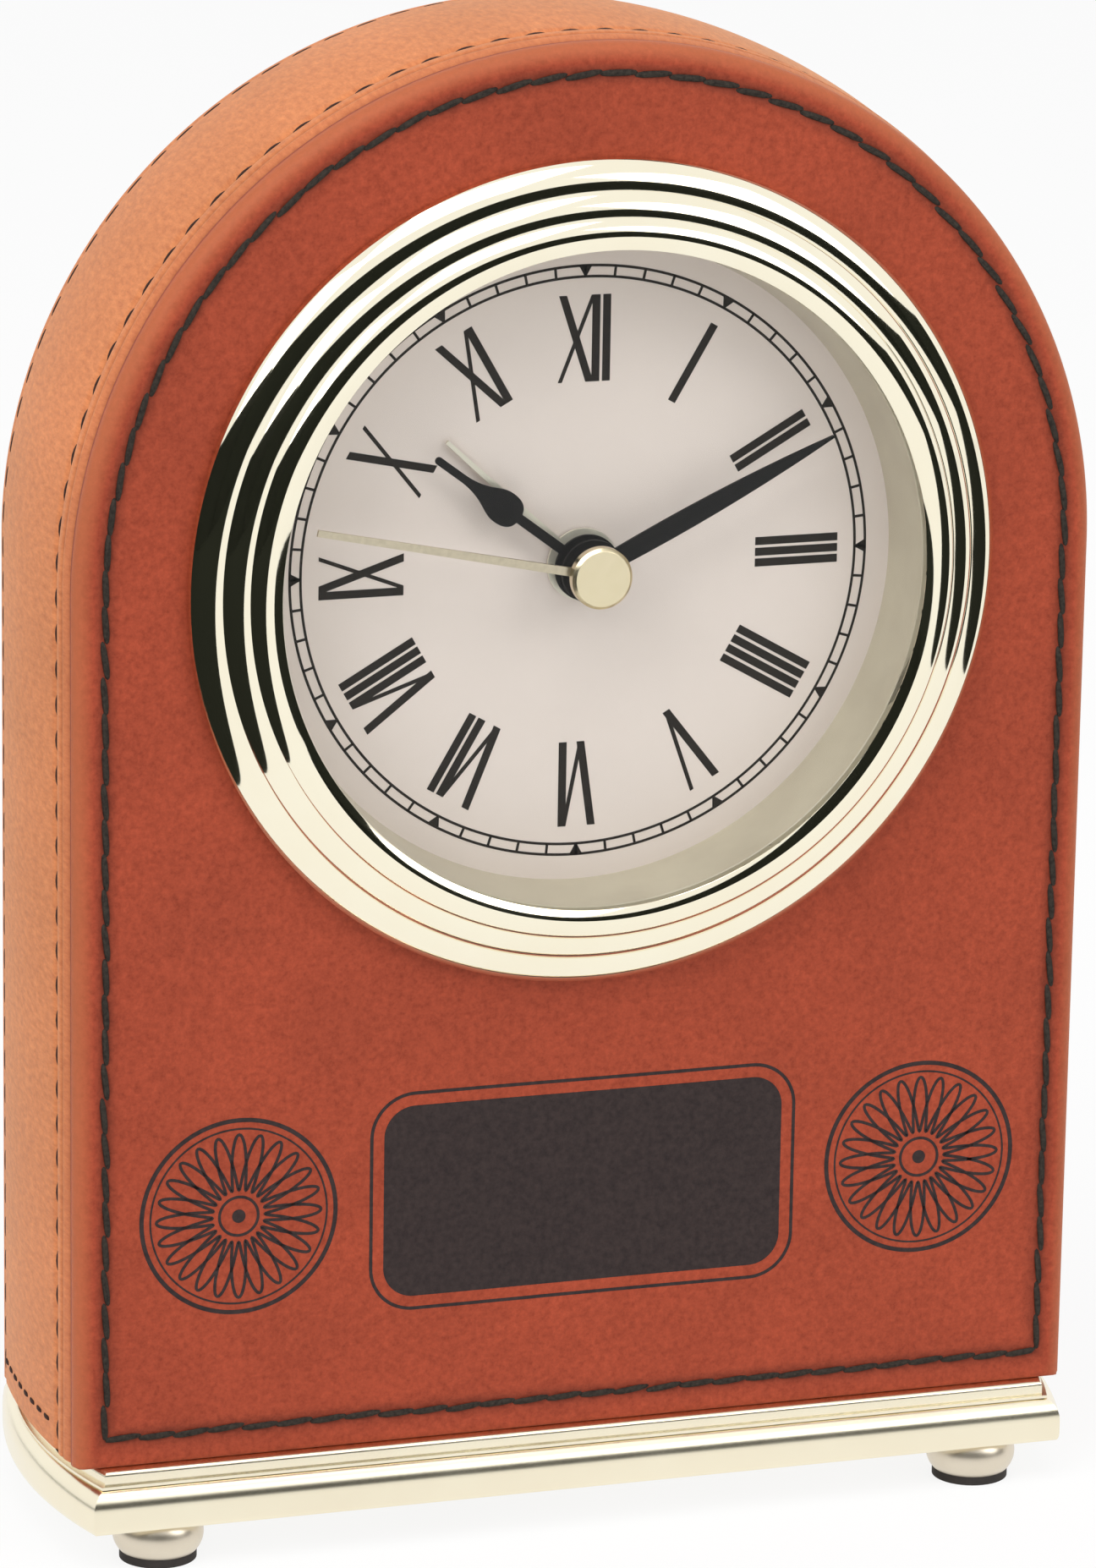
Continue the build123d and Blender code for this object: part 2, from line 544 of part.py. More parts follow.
for at in LID_SCREW_AT:
    tray -= rod(SCREW_R, -TRAY_REAR, -(TRAY_REAR - LID_SCREW_L + LID_T), at)
STATOR_FRONT = TRAY_FLOOR + LAYER_START + (SECOND_LAYER - 0.3) * LAYER_PITCH
MAGNET_R = 2.8
MAGNET_H = 2.2
STATOR_HOLE_R = MAGNET_R + 0.4
POST_R = 1.0
STATOR_POSTS = [(STATOR_X0 + POST_R, STATOR_Y0 + POST_R), (STATOR_X1 - POST_R, STATOR_Y0 + POST_R)]
for at in STATOR_POSTS:
    tray += rod(POST_R, -STATOR_FRONT, -TRAY_FLOOR, at)
BOARD_FRONT = STATOR_FRONT
BOARD_X1 = INNER_X - BOARD_SIDE_GAP
BOARD_X0 = BOARD_X1 - BOARD_W
BOARD_Y1 = INNER_TOP - BOARD_TOP_GAP
BOARD_Y0 = BOARD_Y1 - BOARD_H
BOARD_POSTS = [(BOARD_X0 + 2 * POST_R, BOARD_Y1 - 2 * POST_R), (BOARD_X1 - POST_R, BOARD_Y0 + POST_R)]
for at in BOARD_POSTS:
    tray += rod(POST_R, -BOARD_FRONT, -TRAY_FLOOR, at)
PIVOTS = [THIRD_AT, REDUCTION_AT, ROTOR_AT]
for at in PIVOTS:
    tray -= rod(PIVOT_R + RUN, -TRAY_FLOOR, -(TRAY_FLOOR - PIVOT_L), at)
SET_ARBORS = [TRANSFER_AT, ALARM_SET_AT]
for at in SET_ARBORS:
    tray -= rod(PIVOT_R + RUN, -TRAY_FLOOR, -(TRAY_FLOOR - PIVOT_L), at)
movement_tray = in_place(tray)
ear_screws = in_place(Compound(children=[screw(at, -TRAY_FLOOR, EAR_SCREW_L - RUN, -1) for at in EAR_AT]))

# Lid over the wheels, with bearings, the holes for the two setting arbors and the switch's slot
SWITCH_X = -0.755 * INNER_X
SWITCH_Y = 0.5 * INNER_TOP
SWITCH_FOOT_T = 1.0
slot_half = (SWITCH_TRAVEL + SWITCH_THUMB) / 2 + SLIP
slot_mid = SWITCH_Y + SWITCH_TRAVEL / 2
slot_x = SWITCH_THUMB / 2 + LIFT
lid = block(-OUTER_X, OUTER_X, PARTITION_Y, OUTER_TOP, -LID_REAR, -TRAY_REAR)
lid = fillet(lid.edges().filter_by(Axis.Z), CASE_WALL / 2)
for at in PIVOTS + [(0, 0)]:
    reach = SECOND_R if at == (0, 0) else PIVOT_R
    lid -= rod(reach + RUN, -(TRAY_REAR + PIVOT_L), -TRAY_REAR, at)
for at in SET_ARBORS:
    lid -= rod(SET_ARBOR_R + RUN, -LID_REAR, -TRAY_REAR, at)
for at in LID_SCREW_AT:
    lid -= rod(SCREW_R + RUN, -LID_REAR, -TRAY_REAR, at)
slot_low, slot_high = slot_mid - slot_half, slot_mid + slot_half
lid -= block(SWITCH_X - slot_x, SWITCH_X + slot_x, slot_low, slot_high, -LID_REAR, -TRAY_REAR)
movement_lid = in_place(lid)
lid_screws = in_place(Compound(children=[screw(at, -LID_REAR, LID_SCREW_L - RUN, -1) for at in LID_SCREW_AT]))

# Stepping motor: rotor magnet and pinion, stator plate, core and coil
magnet_mid = -(STATOR_FRONT + STATOR_T / 2)
rotor = in_place(
    rod(MAGNET_R, magnet_mid - MAGNET_H / 2, magnet_mid + MAGNET_H / 2, ROTOR_AT)
    + gear(ROTOR_LEAVES, ROTOR_MODULE, ROTOR_LAYER, ROTOR_AT, ROTOR_BEARING + 180, 1)
    + arbor(ROTOR_AT)
)
ARM_W = 2.5
CORE_H = 1.6
BOBBIN_T = 0.6
stator_plate = block(STATOR_X0, STATOR_X1, STATOR_Y0, STATOR_Y1, -(STATOR_FRONT + STATOR_T), -STATOR_FRONT)
for x0 in (STATOR_X0, STATOR_X1 - ARM_W):
    stator_plate += block(x0, x0 + ARM_W, STATOR_Y1, ARM_TOP, -(STATOR_FRONT + STATOR_T), -STATOR_FRONT)
stator_plate += block(
    STATOR_X0, STATOR_X1, CORE_Y - CORE_H / 2, CORE_Y + CORE_H / 2, -(STATOR_FRONT + STATOR_T), -STATOR_FRONT
)
stator_plate -= rod(STATOR_HOLE_R, -(STATOR_FRONT + STATOR_T), -STATOR_FRONT, ROTOR_AT)
stator = in_place(stator_plate)


def along_x(radius, x0, x1, y, depth):
    """Cylinder that lies along x in the clock frame."""
    return Pos((x0 + x1) / 2, y, -depth) * Rot(0, 90, 0) * Cylinder(radius, x1 - x0)


coil_x0, coil_x1 = STATOR_X0 + ARM_W + LIFT, STATOR_X1 - ARM_W - LIFT
coil_depth = STATOR_FRONT + STATOR_T / 2
winding = along_x(COIL_R - 0.4, coil_x0, coil_x1, CORE_Y, coil_depth)
for x0, x1 in ((coil_x0, coil_x0 + BOBBIN_T), (coil_x1 - BOBBIN_T, coil_x1)):
    winding += along_x(COIL_R, x0, x1, CORE_Y, coil_depth)
core_slot = block(
    coil_x0, coil_x1, CORE_Y - CORE_H / 2, CORE_Y + CORE_H / 2, -(STATOR_FRONT + STATOR_T), -STATOR_FRONT
)
coil = in_place(winding - core_slot)

# Electronics: board, quartz can, sealed chip and the alarm's sounder
BOARD_REAR = BOARD_FRONT + BOARD_T
circuit_board = in_place(block(BOARD_X0, BOARD_X1, BOARD_Y0, BOARD_Y1, -BOARD_REAR, -BOARD_FRONT))
QUARTZ_R = 1.0
QUARTZ_L = 6.0
can_end = BOARD_X1 - 2 * QUARTZ_R
can_y = BOARD_Y1 - 2.5 * QUARTZ_R
quartz_can = in_place(along_x(QUARTZ_R, can_end - QUARTZ_L, can_end, can_y, BOARD_REAR + QUARTZ_R))
CHIP_R = 2.4
CHIP_H = 0.9
chip_at = (BOARD_X0 + 2 * CHIP_R, BOARD_Y0 + 1.6 * CHIP_R)
chip_seal = in_place(rod(CHIP_R, -(BOARD_REAR + CHIP_H), -BOARD_REAR, chip_at))
SOUNDER_R = 5.2
SOUNDER_H = 4.0
SOUNDER_AT = (INNER_X - 1.37 * SOUNDER_R, INNER_TOP - 1.46 * SOUNDER_R)
sounder_can = rod(SOUNDER_R, -(TRAY_FLOOR + SOUNDER_H), -TRAY_FLOOR, SOUNDER_AT)
sounder_can -= rod(1.2, -(TRAY_FLOOR + SOUNDER_H), -(TRAY_FLOOR + SOUNDER_H - 1.5), SOUNDER_AT)
sounder = in_place(sounder_can)

# Battery and its two contacts
CELL_DEPTH = TRAY_FLOOR + SLIP + CELL_R
CELL_Y = INNER_LOW + SLIP + CELL_R
cell_plus = INNER_X - STRIP_T
cell_minus = cell_plus - CELL_L
battery = in_place(
    along_x(CELL_R, cell_minus, cell_plus - CELL_NUB_L, CELL_Y, CELL_DEPTH)
    + along_x(CELL_NUB_R, cell_plus - CELL_NUB_L, cell_plus, CELL_Y, CELL_DEPTH)
)
strip_low, strip_high = CELL_Y - STRIP_W / 2, CELL_Y + STRIP_W / 2
strip_rear = -(CELL_DEPTH + STRIP_W / 2)
plus_contact = in_place(block(cell_plus, INNER_X, strip_low, strip_high, strip_rear, -TRAY_FLOOR))
spring_strip = block(-INNER_X, -INNER_X + STRIP_T, strip_low, strip_high, strip_rear, -TRAY_FLOOR)
spring_leaf = Polyline(
    (-INNER_X, strip_rear), (-INNER_X + STRIP_T, strip_rear),
    (cell_minus, -CELL_DEPTH - 1), (cell_minus, -CELL_DEPTH + 1),
    (cell_minus - STRIP_T, -CELL_DEPTH + 1), (cell_minus - STRIP_T, -CELL_DEPTH - 0.8), close=True,
)
spring_strip += Pos(0, strip_high, 0) * extrude(Plane.XZ * make_face(spring_leaf), STRIP_W)
minus_contact = in_place(spring_strip)

# Going train, from the second wheel to the hour wheel
cap_low = DIAL_FACE + SECOND_HAND_Z + HAND_T
second_wheel = in_place(
    gear(SECOND_TEETH, SECOND_MODULE, SECOND_LAYER, (0, 0), REDUCTION_BEARING, 0)
    + gear(SECOND_LEAVES, SECOND_MODULE, THIRD_LAYER, (0, 0), THIRD_BEARING, 0)
    + rod(SECOND_R, -(TRAY_REAR + PIVOT_L - PIVOT_END), cap_low + CAP_T / 2)
)
reduction_wheel = in_place(
    gear(REDUCTION_TEETH, ROTOR_MODULE, ROTOR_LAYER, REDUCTION_AT, ROTOR_BEARING, 0)
    + gear(REDUCTION_LEAVES, SECOND_MODULE, SECOND_LAYER, REDUCTION_AT, REDUCTION_BEARING + 180, 1)
    + arbor(REDUCTION_AT)
)
third_wheel = in_place(
    gear(THIRD_TEETH, SECOND_MODULE, THIRD_LAYER, THIRD_AT, THIRD_BEARING + 180, 1)
    + gear(THIRD_LEAVES, MINUTE_MODULE, MINUTE_LAYER, THIRD_AT, THIRD_BEARING + 180, 0)
    + arbor(THIRD_AT)
)
tube_lip = 0.25
minute_bore = rod(SECOND_R + RUN, -TRAY_REAR, cap_low)
minute_end = DIAL_FACE + MINUTE_HAND_Z + HAND_T + tube_lip
minute_wheel = in_place(
    gear(MINUTE_TEETH, MINUTE_MODULE, MINUTE_LAYER, (0, 0), THIRD_BEARING, 1)
    + gear(MINUTE_LEAVES, SETTING_MODULE, SETTING_LAYER, (0, 0), TRANSFER_BEARING, 0)
    + rod(MINUTE_R, layer_top(MINUTE_LAYER) - WHEEL_T, minute_end)
    - minute_bore
)
hour_bore = rod(MINUTE_R + RUN, -TRAY_REAR, cap_low)
hour_end = DIAL_FACE + HOUR_HAND_Z + HAND_T + tube_lip
hour_wheel = in_place(
    gear(HOUR_TEETH, HOUR_MODULE, HOUR_LAYER, (0, 0), TRANSFER_BEARING, 1)
    + rod(HOUR_R, layer_top(HOUR_LAYER) - WHEEL_T, hour_end)
    - hour_bore
)
knob_front = -(LID_REAR + KNOB_GAP)


def setting_arbor(at):
    """Arbor of a setting knob: a thin front pivot, then a stout stem out through the lid."""
    stem_top = layer_top(SETTING_LAYER) - WHEEL_T
    front = rod(PIVOT_R, stem_top, -(TRAY_FLOOR - PIVOT_L + PIVOT_END), at)
    return front + rod(SET_ARBOR_R, knob_front - KNOB_H / 2, stem_top, at)


transfer_wheel = in_place(
    gear(TRANSFER_TEETH, SETTING_MODULE, SETTING_LAYER, TRANSFER_AT, TRANSFER_BEARING + 180, 1)
    + gear(TRANSFER_LEAVES, HOUR_MODULE, HOUR_LAYER, TRANSFER_AT, TRANSFER_BEARING + 180, 0)
    + setting_arbor(TRANSFER_AT)
)

# Alarm work: the alarm hand's wheel and the wheel that sets it
alarm_bore = rod(HOUR_R + RUN, -TRAY_REAR, cap_low)
alarm_end = DIAL_FACE + ALARM_HAND_Z + HAND_T + tube_lip
alarm_wheel = in_place(
    gear(ALARM_TEETH, ALARM_MODULE, ALARM_LAYER, (0, 0), ALARM_SET_BEARING, 0)
    + rod(ALARM_R, layer_top(ALARM_LAYER) - WHEEL_T, alarm_end)
    - alarm_bore
)
alarm_set_wheel = in_place(
    gear(ALARM_SET_TEETH, ALARM_MODULE, ALARM_LAYER, ALARM_SET_AT, ALARM_SET_BEARING + 180, 1)
    + setting_arbor(ALARM_SET_AT)
)

# Hands: slim alarm hand, hour hand with a drop, lance minute hand, thin second hand with its cap
slim = Polyline((-0.45, 0), (-0.2, ALARM_HAND_L), (0.2, ALARM_HAND_L), (0.45, 0), close=True)
alarm_hand = in_place(drop_hand(slim, ALARM_HAND_Z, ALARM_HUB_R, ALARM_R, ALARM_ANGLE))
STEM_HALF = 0.5
DROP_HALF = 1.7
DROP_FOOT = 0.455 * HOUR_HAND_L
DROP_WIDE = 0.55 * HOUR_HAND_L
DROP_TOP = 0.81 * HOUR_HAND_L
TIP_HALF = 0.4
drop_right = (
    Line((STEM_HALF, 0), (STEM_HALF, DROP_FOOT))
    + Spline((STEM_HALF, DROP_FOOT), (DROP_HALF, DROP_WIDE), (TIP_HALF, DROP_TOP),
             tangents=((1, 0.2), (-0.05, 1)))
    + Line((TIP_HALF, DROP_TOP), (TIP_HALF, HOUR_HAND_L - TIP_HALF))
)
drop_tip = ThreePointArc(
    (TIP_HALF, HOUR_HAND_L - TIP_HALF), (0, HOUR_HAND_L), (-TIP_HALF, HOUR_HAND_L - TIP_HALF)
)
drop_outline = drop_right + drop_tip + mirror(drop_right, Plane.YZ) + Line((-STEM_HALF, 0), (STEM_HALF, 0))
hour_hand = in_place(drop_hand(drop_outline, HOUR_HAND_Z, HOUR_HUB_R, HOUR_R, HOUR_ANGLE))
LANCE_FOOT = 0.875
LANCE_HALF = 1.05
LANCE_TIP = 0.13
LANCE_WIDE = 0.305 * MINUTE_HAND_L
lance_right = ThreePointArc((LANCE_FOOT, 0), (LANCE_HALF, LANCE_WIDE), (LANCE_TIP, MINUTE_HAND_L))
lance_tip = Line((LANCE_TIP, MINUTE_HAND_L), (-LANCE_TIP, MINUTE_HAND_L))
lance_foot = Line((-LANCE_FOOT, 0), (LANCE_FOOT, 0))
lance = lance_right + lance_tip + mirror(lance_right, Plane.YZ) + lance_foot
minute_hand = in_place(drop_hand(lance, MINUTE_HAND_Z, MINUTE_HUB_R, MINUTE_R, MINUTE_ANGLE))
needle = Polyline((-0.45, 0), (-0.33, SECOND_HAND_L), (0.33, SECOND_HAND_L), (0.45, 0), close=True)
second_hand = in_place(drop_hand(needle, SECOND_HAND_Z, 0.6 * CAP_R, SECOND_R, SECOND_ANGLE))
cap_round = rod(CAP_R, cap_low, cap_low + CAP_T)
cap_round = chamfer(cap_round.edges().group_by(Axis.Z)[-1], 0.25 * CAP_T)
hand_cap = in_place(cap_round - rod(SECOND_R, cap_low, cap_low + CAP_T / 2))


# Fluted setting knobs and the alarm's on and off slide
def knob(at):
    body = rod(KNOB_R, knob_front - KNOB_H, knob_front, at)
    flutes = 14
    for number in range(flutes):
        x, y = polar(KNOB_R + 0.15, 360 * number / flutes)
        body -= rod(0.55, knob_front - KNOB_H, knob_front - 0.8, (at[0] + x, at[1] + y))
    return body - rod(SET_ARBOR_R, knob_front - KNOB_H / 2, knob_front, at)


time_knob = in_place(knob(TRANSFER_AT))
alarm_knob = in_place(knob(ALARM_SET_AT))
thumb_half = SWITCH_THUMB / 2
thumb = block(
    SWITCH_X - thumb_half, SWITCH_X + thumb_half, SWITCH_Y - thumb_half, SWITCH_Y + thumb_half,
    -(LID_REAR + 1.4), -(TRAY_REAR - LIFT),
)
foot_half = thumb_half + SWITCH_FOOT_T
thumb_foot = block(
    SWITCH_X - foot_half, SWITCH_X + foot_half, SWITCH_Y - foot_half, SWITCH_Y + foot_half,
    -(TRAY_REAR - LIFT), -(TRAY_REAR - LIFT - SWITCH_FOOT_T),
)
alarm_switch = in_place(thumb + thumb_foot)

PARTS = {
    "base_plate": base_plate, "ball_feet": ball_feet, "foot_pads": foot_pads, "base_screws": base_screws,
    "case_shell": case_shell, "front_panel": front_panel, "side_band": side_band,
    "back_board": back_board, "back_screws": back_screws,
    "bezel": bezel, "lens": lens, "dial_ring": dial_ring, "dial_plate": dial_plate,
    "holder_plate": holder_plate, "holder_screws": holder_screws,
    "movement_tray": movement_tray, "movement_lid": movement_lid,
    "ear_screws": ear_screws, "lid_screws": lid_screws,
    "rotor": rotor, "stator": stator, "coil": coil,
    "circuit_board": circuit_board, "quartz_can": quartz_can, "chip_seal": chip_seal, "sounder": sounder,
    "battery": battery, "plus_contact": plus_contact, "minus_contact": minus_contact,
    "second_wheel": second_wheel, "reduction_wheel": reduction_wheel, "third_wheel": third_wheel,
    "minute_wheel": minute_wheel, "transfer_wheel": transfer_wheel, "hour_wheel": hour_wheel,
    "alarm_wheel": alarm_wheel, "alarm_set_wheel": alarm_set_wheel,
    "alarm_hand": alarm_hand, "hour_hand": hour_hand, "minute_hand": minute_hand,
    "second_hand": second_hand, "hand_cap": hand_cap,
    "time_knob": time_knob, "alarm_knob": alarm_knob, "alarm_switch": alarm_switch,
}
os.makedirs("parts", exist_ok=True)
for name, shape in PARTS.items():
    export_step(shape, f"parts/{name}.step")
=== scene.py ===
import bmesh
import bpy
import numpy as np
from mathutils import Matrix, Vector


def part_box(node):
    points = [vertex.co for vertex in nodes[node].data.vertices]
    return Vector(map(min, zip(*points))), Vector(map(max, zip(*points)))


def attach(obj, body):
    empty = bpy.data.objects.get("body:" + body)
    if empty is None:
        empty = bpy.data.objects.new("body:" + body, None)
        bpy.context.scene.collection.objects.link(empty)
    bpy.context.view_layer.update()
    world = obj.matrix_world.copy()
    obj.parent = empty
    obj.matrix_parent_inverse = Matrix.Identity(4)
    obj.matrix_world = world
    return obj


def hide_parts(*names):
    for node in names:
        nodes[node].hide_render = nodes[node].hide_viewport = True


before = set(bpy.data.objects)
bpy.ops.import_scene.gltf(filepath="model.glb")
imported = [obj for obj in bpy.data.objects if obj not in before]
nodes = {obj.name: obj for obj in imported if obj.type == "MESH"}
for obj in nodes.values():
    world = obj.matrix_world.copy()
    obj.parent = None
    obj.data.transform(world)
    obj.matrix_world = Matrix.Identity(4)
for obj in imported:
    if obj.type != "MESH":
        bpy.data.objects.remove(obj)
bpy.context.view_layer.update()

# Studio: a camera with a long lens stands to the left of the clock and a little above it. White paper lies
# under the clock, and three large soft lamps light it from the left, the right and above. Dark cards stand
# out of sight, so that the polished gold has something to reflect.
scene = bpy.context.scene
scene.view_settings.view_transform = "Standard"
MM = 0.001
YAW, PITCH, ROLL = np.radians([18.22, 15.38, 0.93])
EYE = np.array([-0.23067, -0.70199, 0.27718])
FOCAL_PIXELS = 8965
PICTURE_HEIGHT = 1854
SENSOR = 36
ahead = np.array([np.sin(YAW) * np.cos(PITCH), np.cos(YAW) * np.cos(PITCH), -np.sin(PITCH)])
level = np.array([np.cos(YAW), -np.sin(YAW), 0])
below = np.cross(ahead, level)
across = np.cos(ROLL) * level - np.sin(ROLL) * below
upward = -np.sin(ROLL) * level - np.cos(ROLL) * below
stand = np.eye(4)
stand[:3] = np.stack([across, upward, -ahead, EYE], axis=1)
lens_data = bpy.data.cameras.new("camera")
lens_data.sensor_width = SENSOR
lens_data.lens = FOCAL_PIXELS * SENSOR / PICTURE_HEIGHT
camera = bpy.data.objects.new("camera", lens_data)
scene.collection.objects.link(camera)
camera.matrix_world = Matrix(stand.tolist())
scene.camera = camera


def look_from(place, target):
    """Placing matrix of a lamp that stands at a place and faces a target."""
    facing = np.subtract(target, place)
    back = -facing / np.linalg.norm(facing)
    side = np.cross([0, 0, 1], back)
    side = side / np.linalg.norm(side)
    matrix = np.eye(4)
    matrix[:3] = np.stack([side, np.cross(back, side), back, place], axis=1)
    return Matrix(matrix.tolist())


LIT_PLACE = [0, 0, 0.08]
# Each lamp is its place in metres, the side of its square and its power.
LAMPS = {
    "left_softbox": ([-1.30, -0.75, 1.25], 1.1, 13.0),
    "right_softbox": ([0.95, -1.15, 0.90], 1.0, 6.5),
    "top_softbox": ([-0.20, -0.55, 1.45], 1.0, 8.0),
}
for name, (place, side, power) in LAMPS.items():
    lamp_data = bpy.data.lights.new(name, "AREA")
    lamp_data.size = side
    lamp_data.energy = power
    lamp = bpy.data.objects.new(name, lamp_data)
    scene.collection.objects.link(lamp)
    lamp.matrix_world = look_from(place, LIT_PLACE)


def seen_directly(tree):
    """A socket that is 1 where the camera or a mirror looks, and 0 for light on its way to the clock."""
    path = tree.nodes.new("ShaderNodeLightPath")
    either = tree.nodes.new("ShaderNodeMath")
    either.operation = "MAXIMUM"
    tree.links.new(path.outputs["Is Camera Ray"], either.inputs[0])
    tree.links.new(path.outputs["Is Glossy Ray"], either.inputs[1])
    return either.outputs[0]


def ranged(tree, start, end, to_start=0.0, to_end=1.0):
    """A shader node that carries a value over from one range to another."""
    node = tree.nodes.new("ShaderNodeMapRange")
    node.inputs["From Min"].default_value = start
    node.inputs["From Max"].default_value = end
    node.inputs["To Min"].default_value = to_start
    node.inputs["To Max"].default_value = to_end
    return node


def first(tree, kind):
    """The first shader node of a kind."""
    return next(node for node in tree.nodes if node.bl_idname == "ShaderNode" + kind)


# The sky looks white, but lights the clock with only this share of white.
AMBIENT = 0.48
world = bpy.data.worlds.new("studio")
world.use_nodes = True
scene.world = world
sky_tree = world.node_tree
sky = sky_tree.nodes["Background"]
sky.inputs["Color"].default_value = (1, 1, 1, 1)
strength = sky_tree.nodes.new("ShaderNodeMath")
strength.operation = "MULTIPLY_ADD"
strength.inputs[1].default_value = 1 - AMBIENT
strength.inputs[2].default_value = AMBIENT
sky_tree.links.new(seen_directly(sky_tree), strength.inputs[0])
sky_tree.links.new(strength.outputs[0], sky.inputs["Strength"])


def finish(name, pale, deep, grain, rough, metal=0.0, relief=0.0, stretch=(1, 1, 1), along="Object",
           specular=0.5):
    """A finish from two shades mixed by a cloudy noise whose grain is in millimetres, a roughness that
    wanders between two values with the same noise, and a relief whose depth is in millimetres. Each number
    of stretch above 1 draws the grain together along its axis, and each below 1 draws it out."""
    material = bpy.data.materials.new(name)
    material.use_nodes = True
    tree = material.node_tree
    shader = tree.nodes["Principled BSDF"]
    place = tree.nodes.new("ShaderNodeTexCoord")
    scale = tree.nodes.new("ShaderNodeMapping")
    per_unit = 1 / MM if along == "Object" else 1
    scale.inputs["Scale"].default_value = [per_unit * pull / grain for pull in stretch]
    cloud = tree.nodes.new("ShaderNodeTexNoise")
    cloud.inputs["Scale"].default_value = 1
    cloud.inputs["Detail"].default_value = 5
    cloud.inputs["Roughness"].default_value = 0.6
    spread = ranged(tree, 0.3, 0.7)
    shades = tree.nodes.new("ShaderNodeMix")
    shades.data_type = "RGBA"
    shades.inputs["A"].default_value = (*deep, 1)
    shades.inputs["B"].default_value = (*pale, 1)
    gloss = ranged(tree, 0, 1, *rough)
    shader.inputs["Metallic"].default_value = metal
    shader.inputs["Specular IOR Level"].default_value = specular
    tree.links.new(place.outputs[along], scale.inputs["Vector"])
    tree.links.new(scale.outputs["Vector"], cloud.inputs["Vector"])
    tree.links.new(cloud.outputs["Fac"], spread.inputs["Value"])
    tree.links.new(spread.outputs["Result"], shades.inputs["Factor"])
    tree.links.new(shades.outputs["Result"], shader.inputs["Base Color"])
    tree.links.new(cloud.outputs["Fac"], gloss.inputs["Value"])
    tree.links.new(gloss.outputs["Result"], shader.inputs["Roughness"])
    if relief:
        bump = tree.nodes.new("ShaderNodeBump")
        bump.inputs["Distance"].default_value = relief * MM
        tree.links.new(cloud.outputs["Fac"], bump.inputs["Height"])
        tree.links.new(bump.outputs["Normal"], shader.inputs["Normal"])
    return material


def flat_card(name, corners, material):
    """A four-cornered sheet of the stage, from its corners."""
    mesh = bpy.data.meshes.new(name)
    mesh.from_pydata(corners, [], [(0, 1, 2, 3)])
    mesh.materials.append(material)
    card = bpy.data.objects.new(name, mesh)
    scene.collection.objects.link(card)
    return card


# Where it is seen directly, the paper is this share of plain white, and the rest takes light and shadow.
PAPER_WHITE = 0.86
paper = finish("white_paper", (0.95, 0.95, 0.95), (0.93, 0.93, 0.93), 40, (0.8, 0.9))
paper_tree = paper.node_tree
paper_share = paper_tree.nodes.new("ShaderNodeMath")
paper_share.operation = "MULTIPLY"
paper_share.inputs[1].default_value = PAPER_WHITE
paper_glow = paper_tree.nodes.new("ShaderNodeEmission")
paper_both = paper_tree.nodes.new("ShaderNodeMixShader")
paper_tree.links.new(seen_directly(paper_tree), paper_share.inputs[0])
paper_tree.links.new(paper_share.outputs[0], paper_both.inputs["Fac"])
paper_tree.links.new(paper_tree.nodes["Principled BSDF"].outputs["BSDF"], paper_both.inputs[1])
paper_tree.links.new(paper_glow.outputs["Emission"], paper_both.inputs[2])
paper_tree.links.new(paper_both.outputs["Shader"], paper_tree.nodes["Material Output"].inputs["Surface"])
FLOOR = 4.0
flat_card("floor", [(-FLOOR, -FLOOR, 0), (FLOOR, -FLOOR, 0), (FLOOR, FLOOR, 0), (-FLOOR, FLOOR, 0)], paper)
black_felt = finish("black_felt", (0.020, 0.022, 0.018), (0.014, 0.016, 0.012), 5, (0.9, 1.0), specular=0)
OUT = 1.3
FELT_LIFT = 0.002
LEFT_TOP, RIGHT_TOP = 0.98, 0.46
DARK_END = -0.33


def laid_felt(*places):
    """Corners of a felt that lies just above the floor, from their places on it."""
    return [(*place, FELT_LIFT) for place in places]


def stood_card(start, end, start_top, end_top):
    """Corners of a card that stands on the floor between two places, with its height at each."""
    return [(*start, 0), (*end, 0), (*end, end_top), (*start, start_top)]


CARDS = {
    "felt_left": laid_felt((-OUT, -OUT), (-0.108, -OUT), (-0.108, 0.4), (-OUT, 0.4)),
    "felt_right": laid_felt((0.22, -0.38), (OUT, -1.2), (OUT, DARK_END), (0.22, -0.03)),
    "card_front": stood_card((-OUT, -OUT), (OUT, -OUT), LEFT_TOP, RIGHT_TOP),
    "card_left": stood_card((-OUT, 0.6), (-OUT, -OUT), 0.20, 1.00),
    "card_right": stood_card((OUT, -OUT), (OUT, DARK_END), RIGHT_TOP, RIGHT_TOP),
}
for name, corners in CARDS.items():
    card = flat_card(name, corners, black_felt)
    card.visible_camera = False
    card.visible_diffuse = False
    card.visible_shadow = False

# Feet: four brass balls turned on a lathe, plated pale gold, each on a stud into the base, with a disc of
# black rubber glued underneath to keep the clock from sliding.
FOOT_R = 4.6
NECK_R = 3.9
BALL_MIDDLE = 0.55


def box_mm(node):
    """A CAD node's lowest and highest corners, in millimetres."""
    return [np.array(corner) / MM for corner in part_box(node)]


def squares(rows, columns, rows_meet, columns_meet):
    """Corner numbers of the faces of a grid: each takes a point and its right, lower-right and lower
    neighbours."""
    row, column = np.meshgrid(
        np.arange(rows - (not rows_meet)), np.arange(columns - (not columns_meet)), indexing="ij"
    )
    next_row, next_column = (row + 1) % rows, (column + 1) % columns
    corners = [row * columns + column, row * columns + next_column]
    corners += [next_row * columns + next_column, next_row * columns + column]
    return np.stack(corners, axis=-1).reshape(-1, 4)


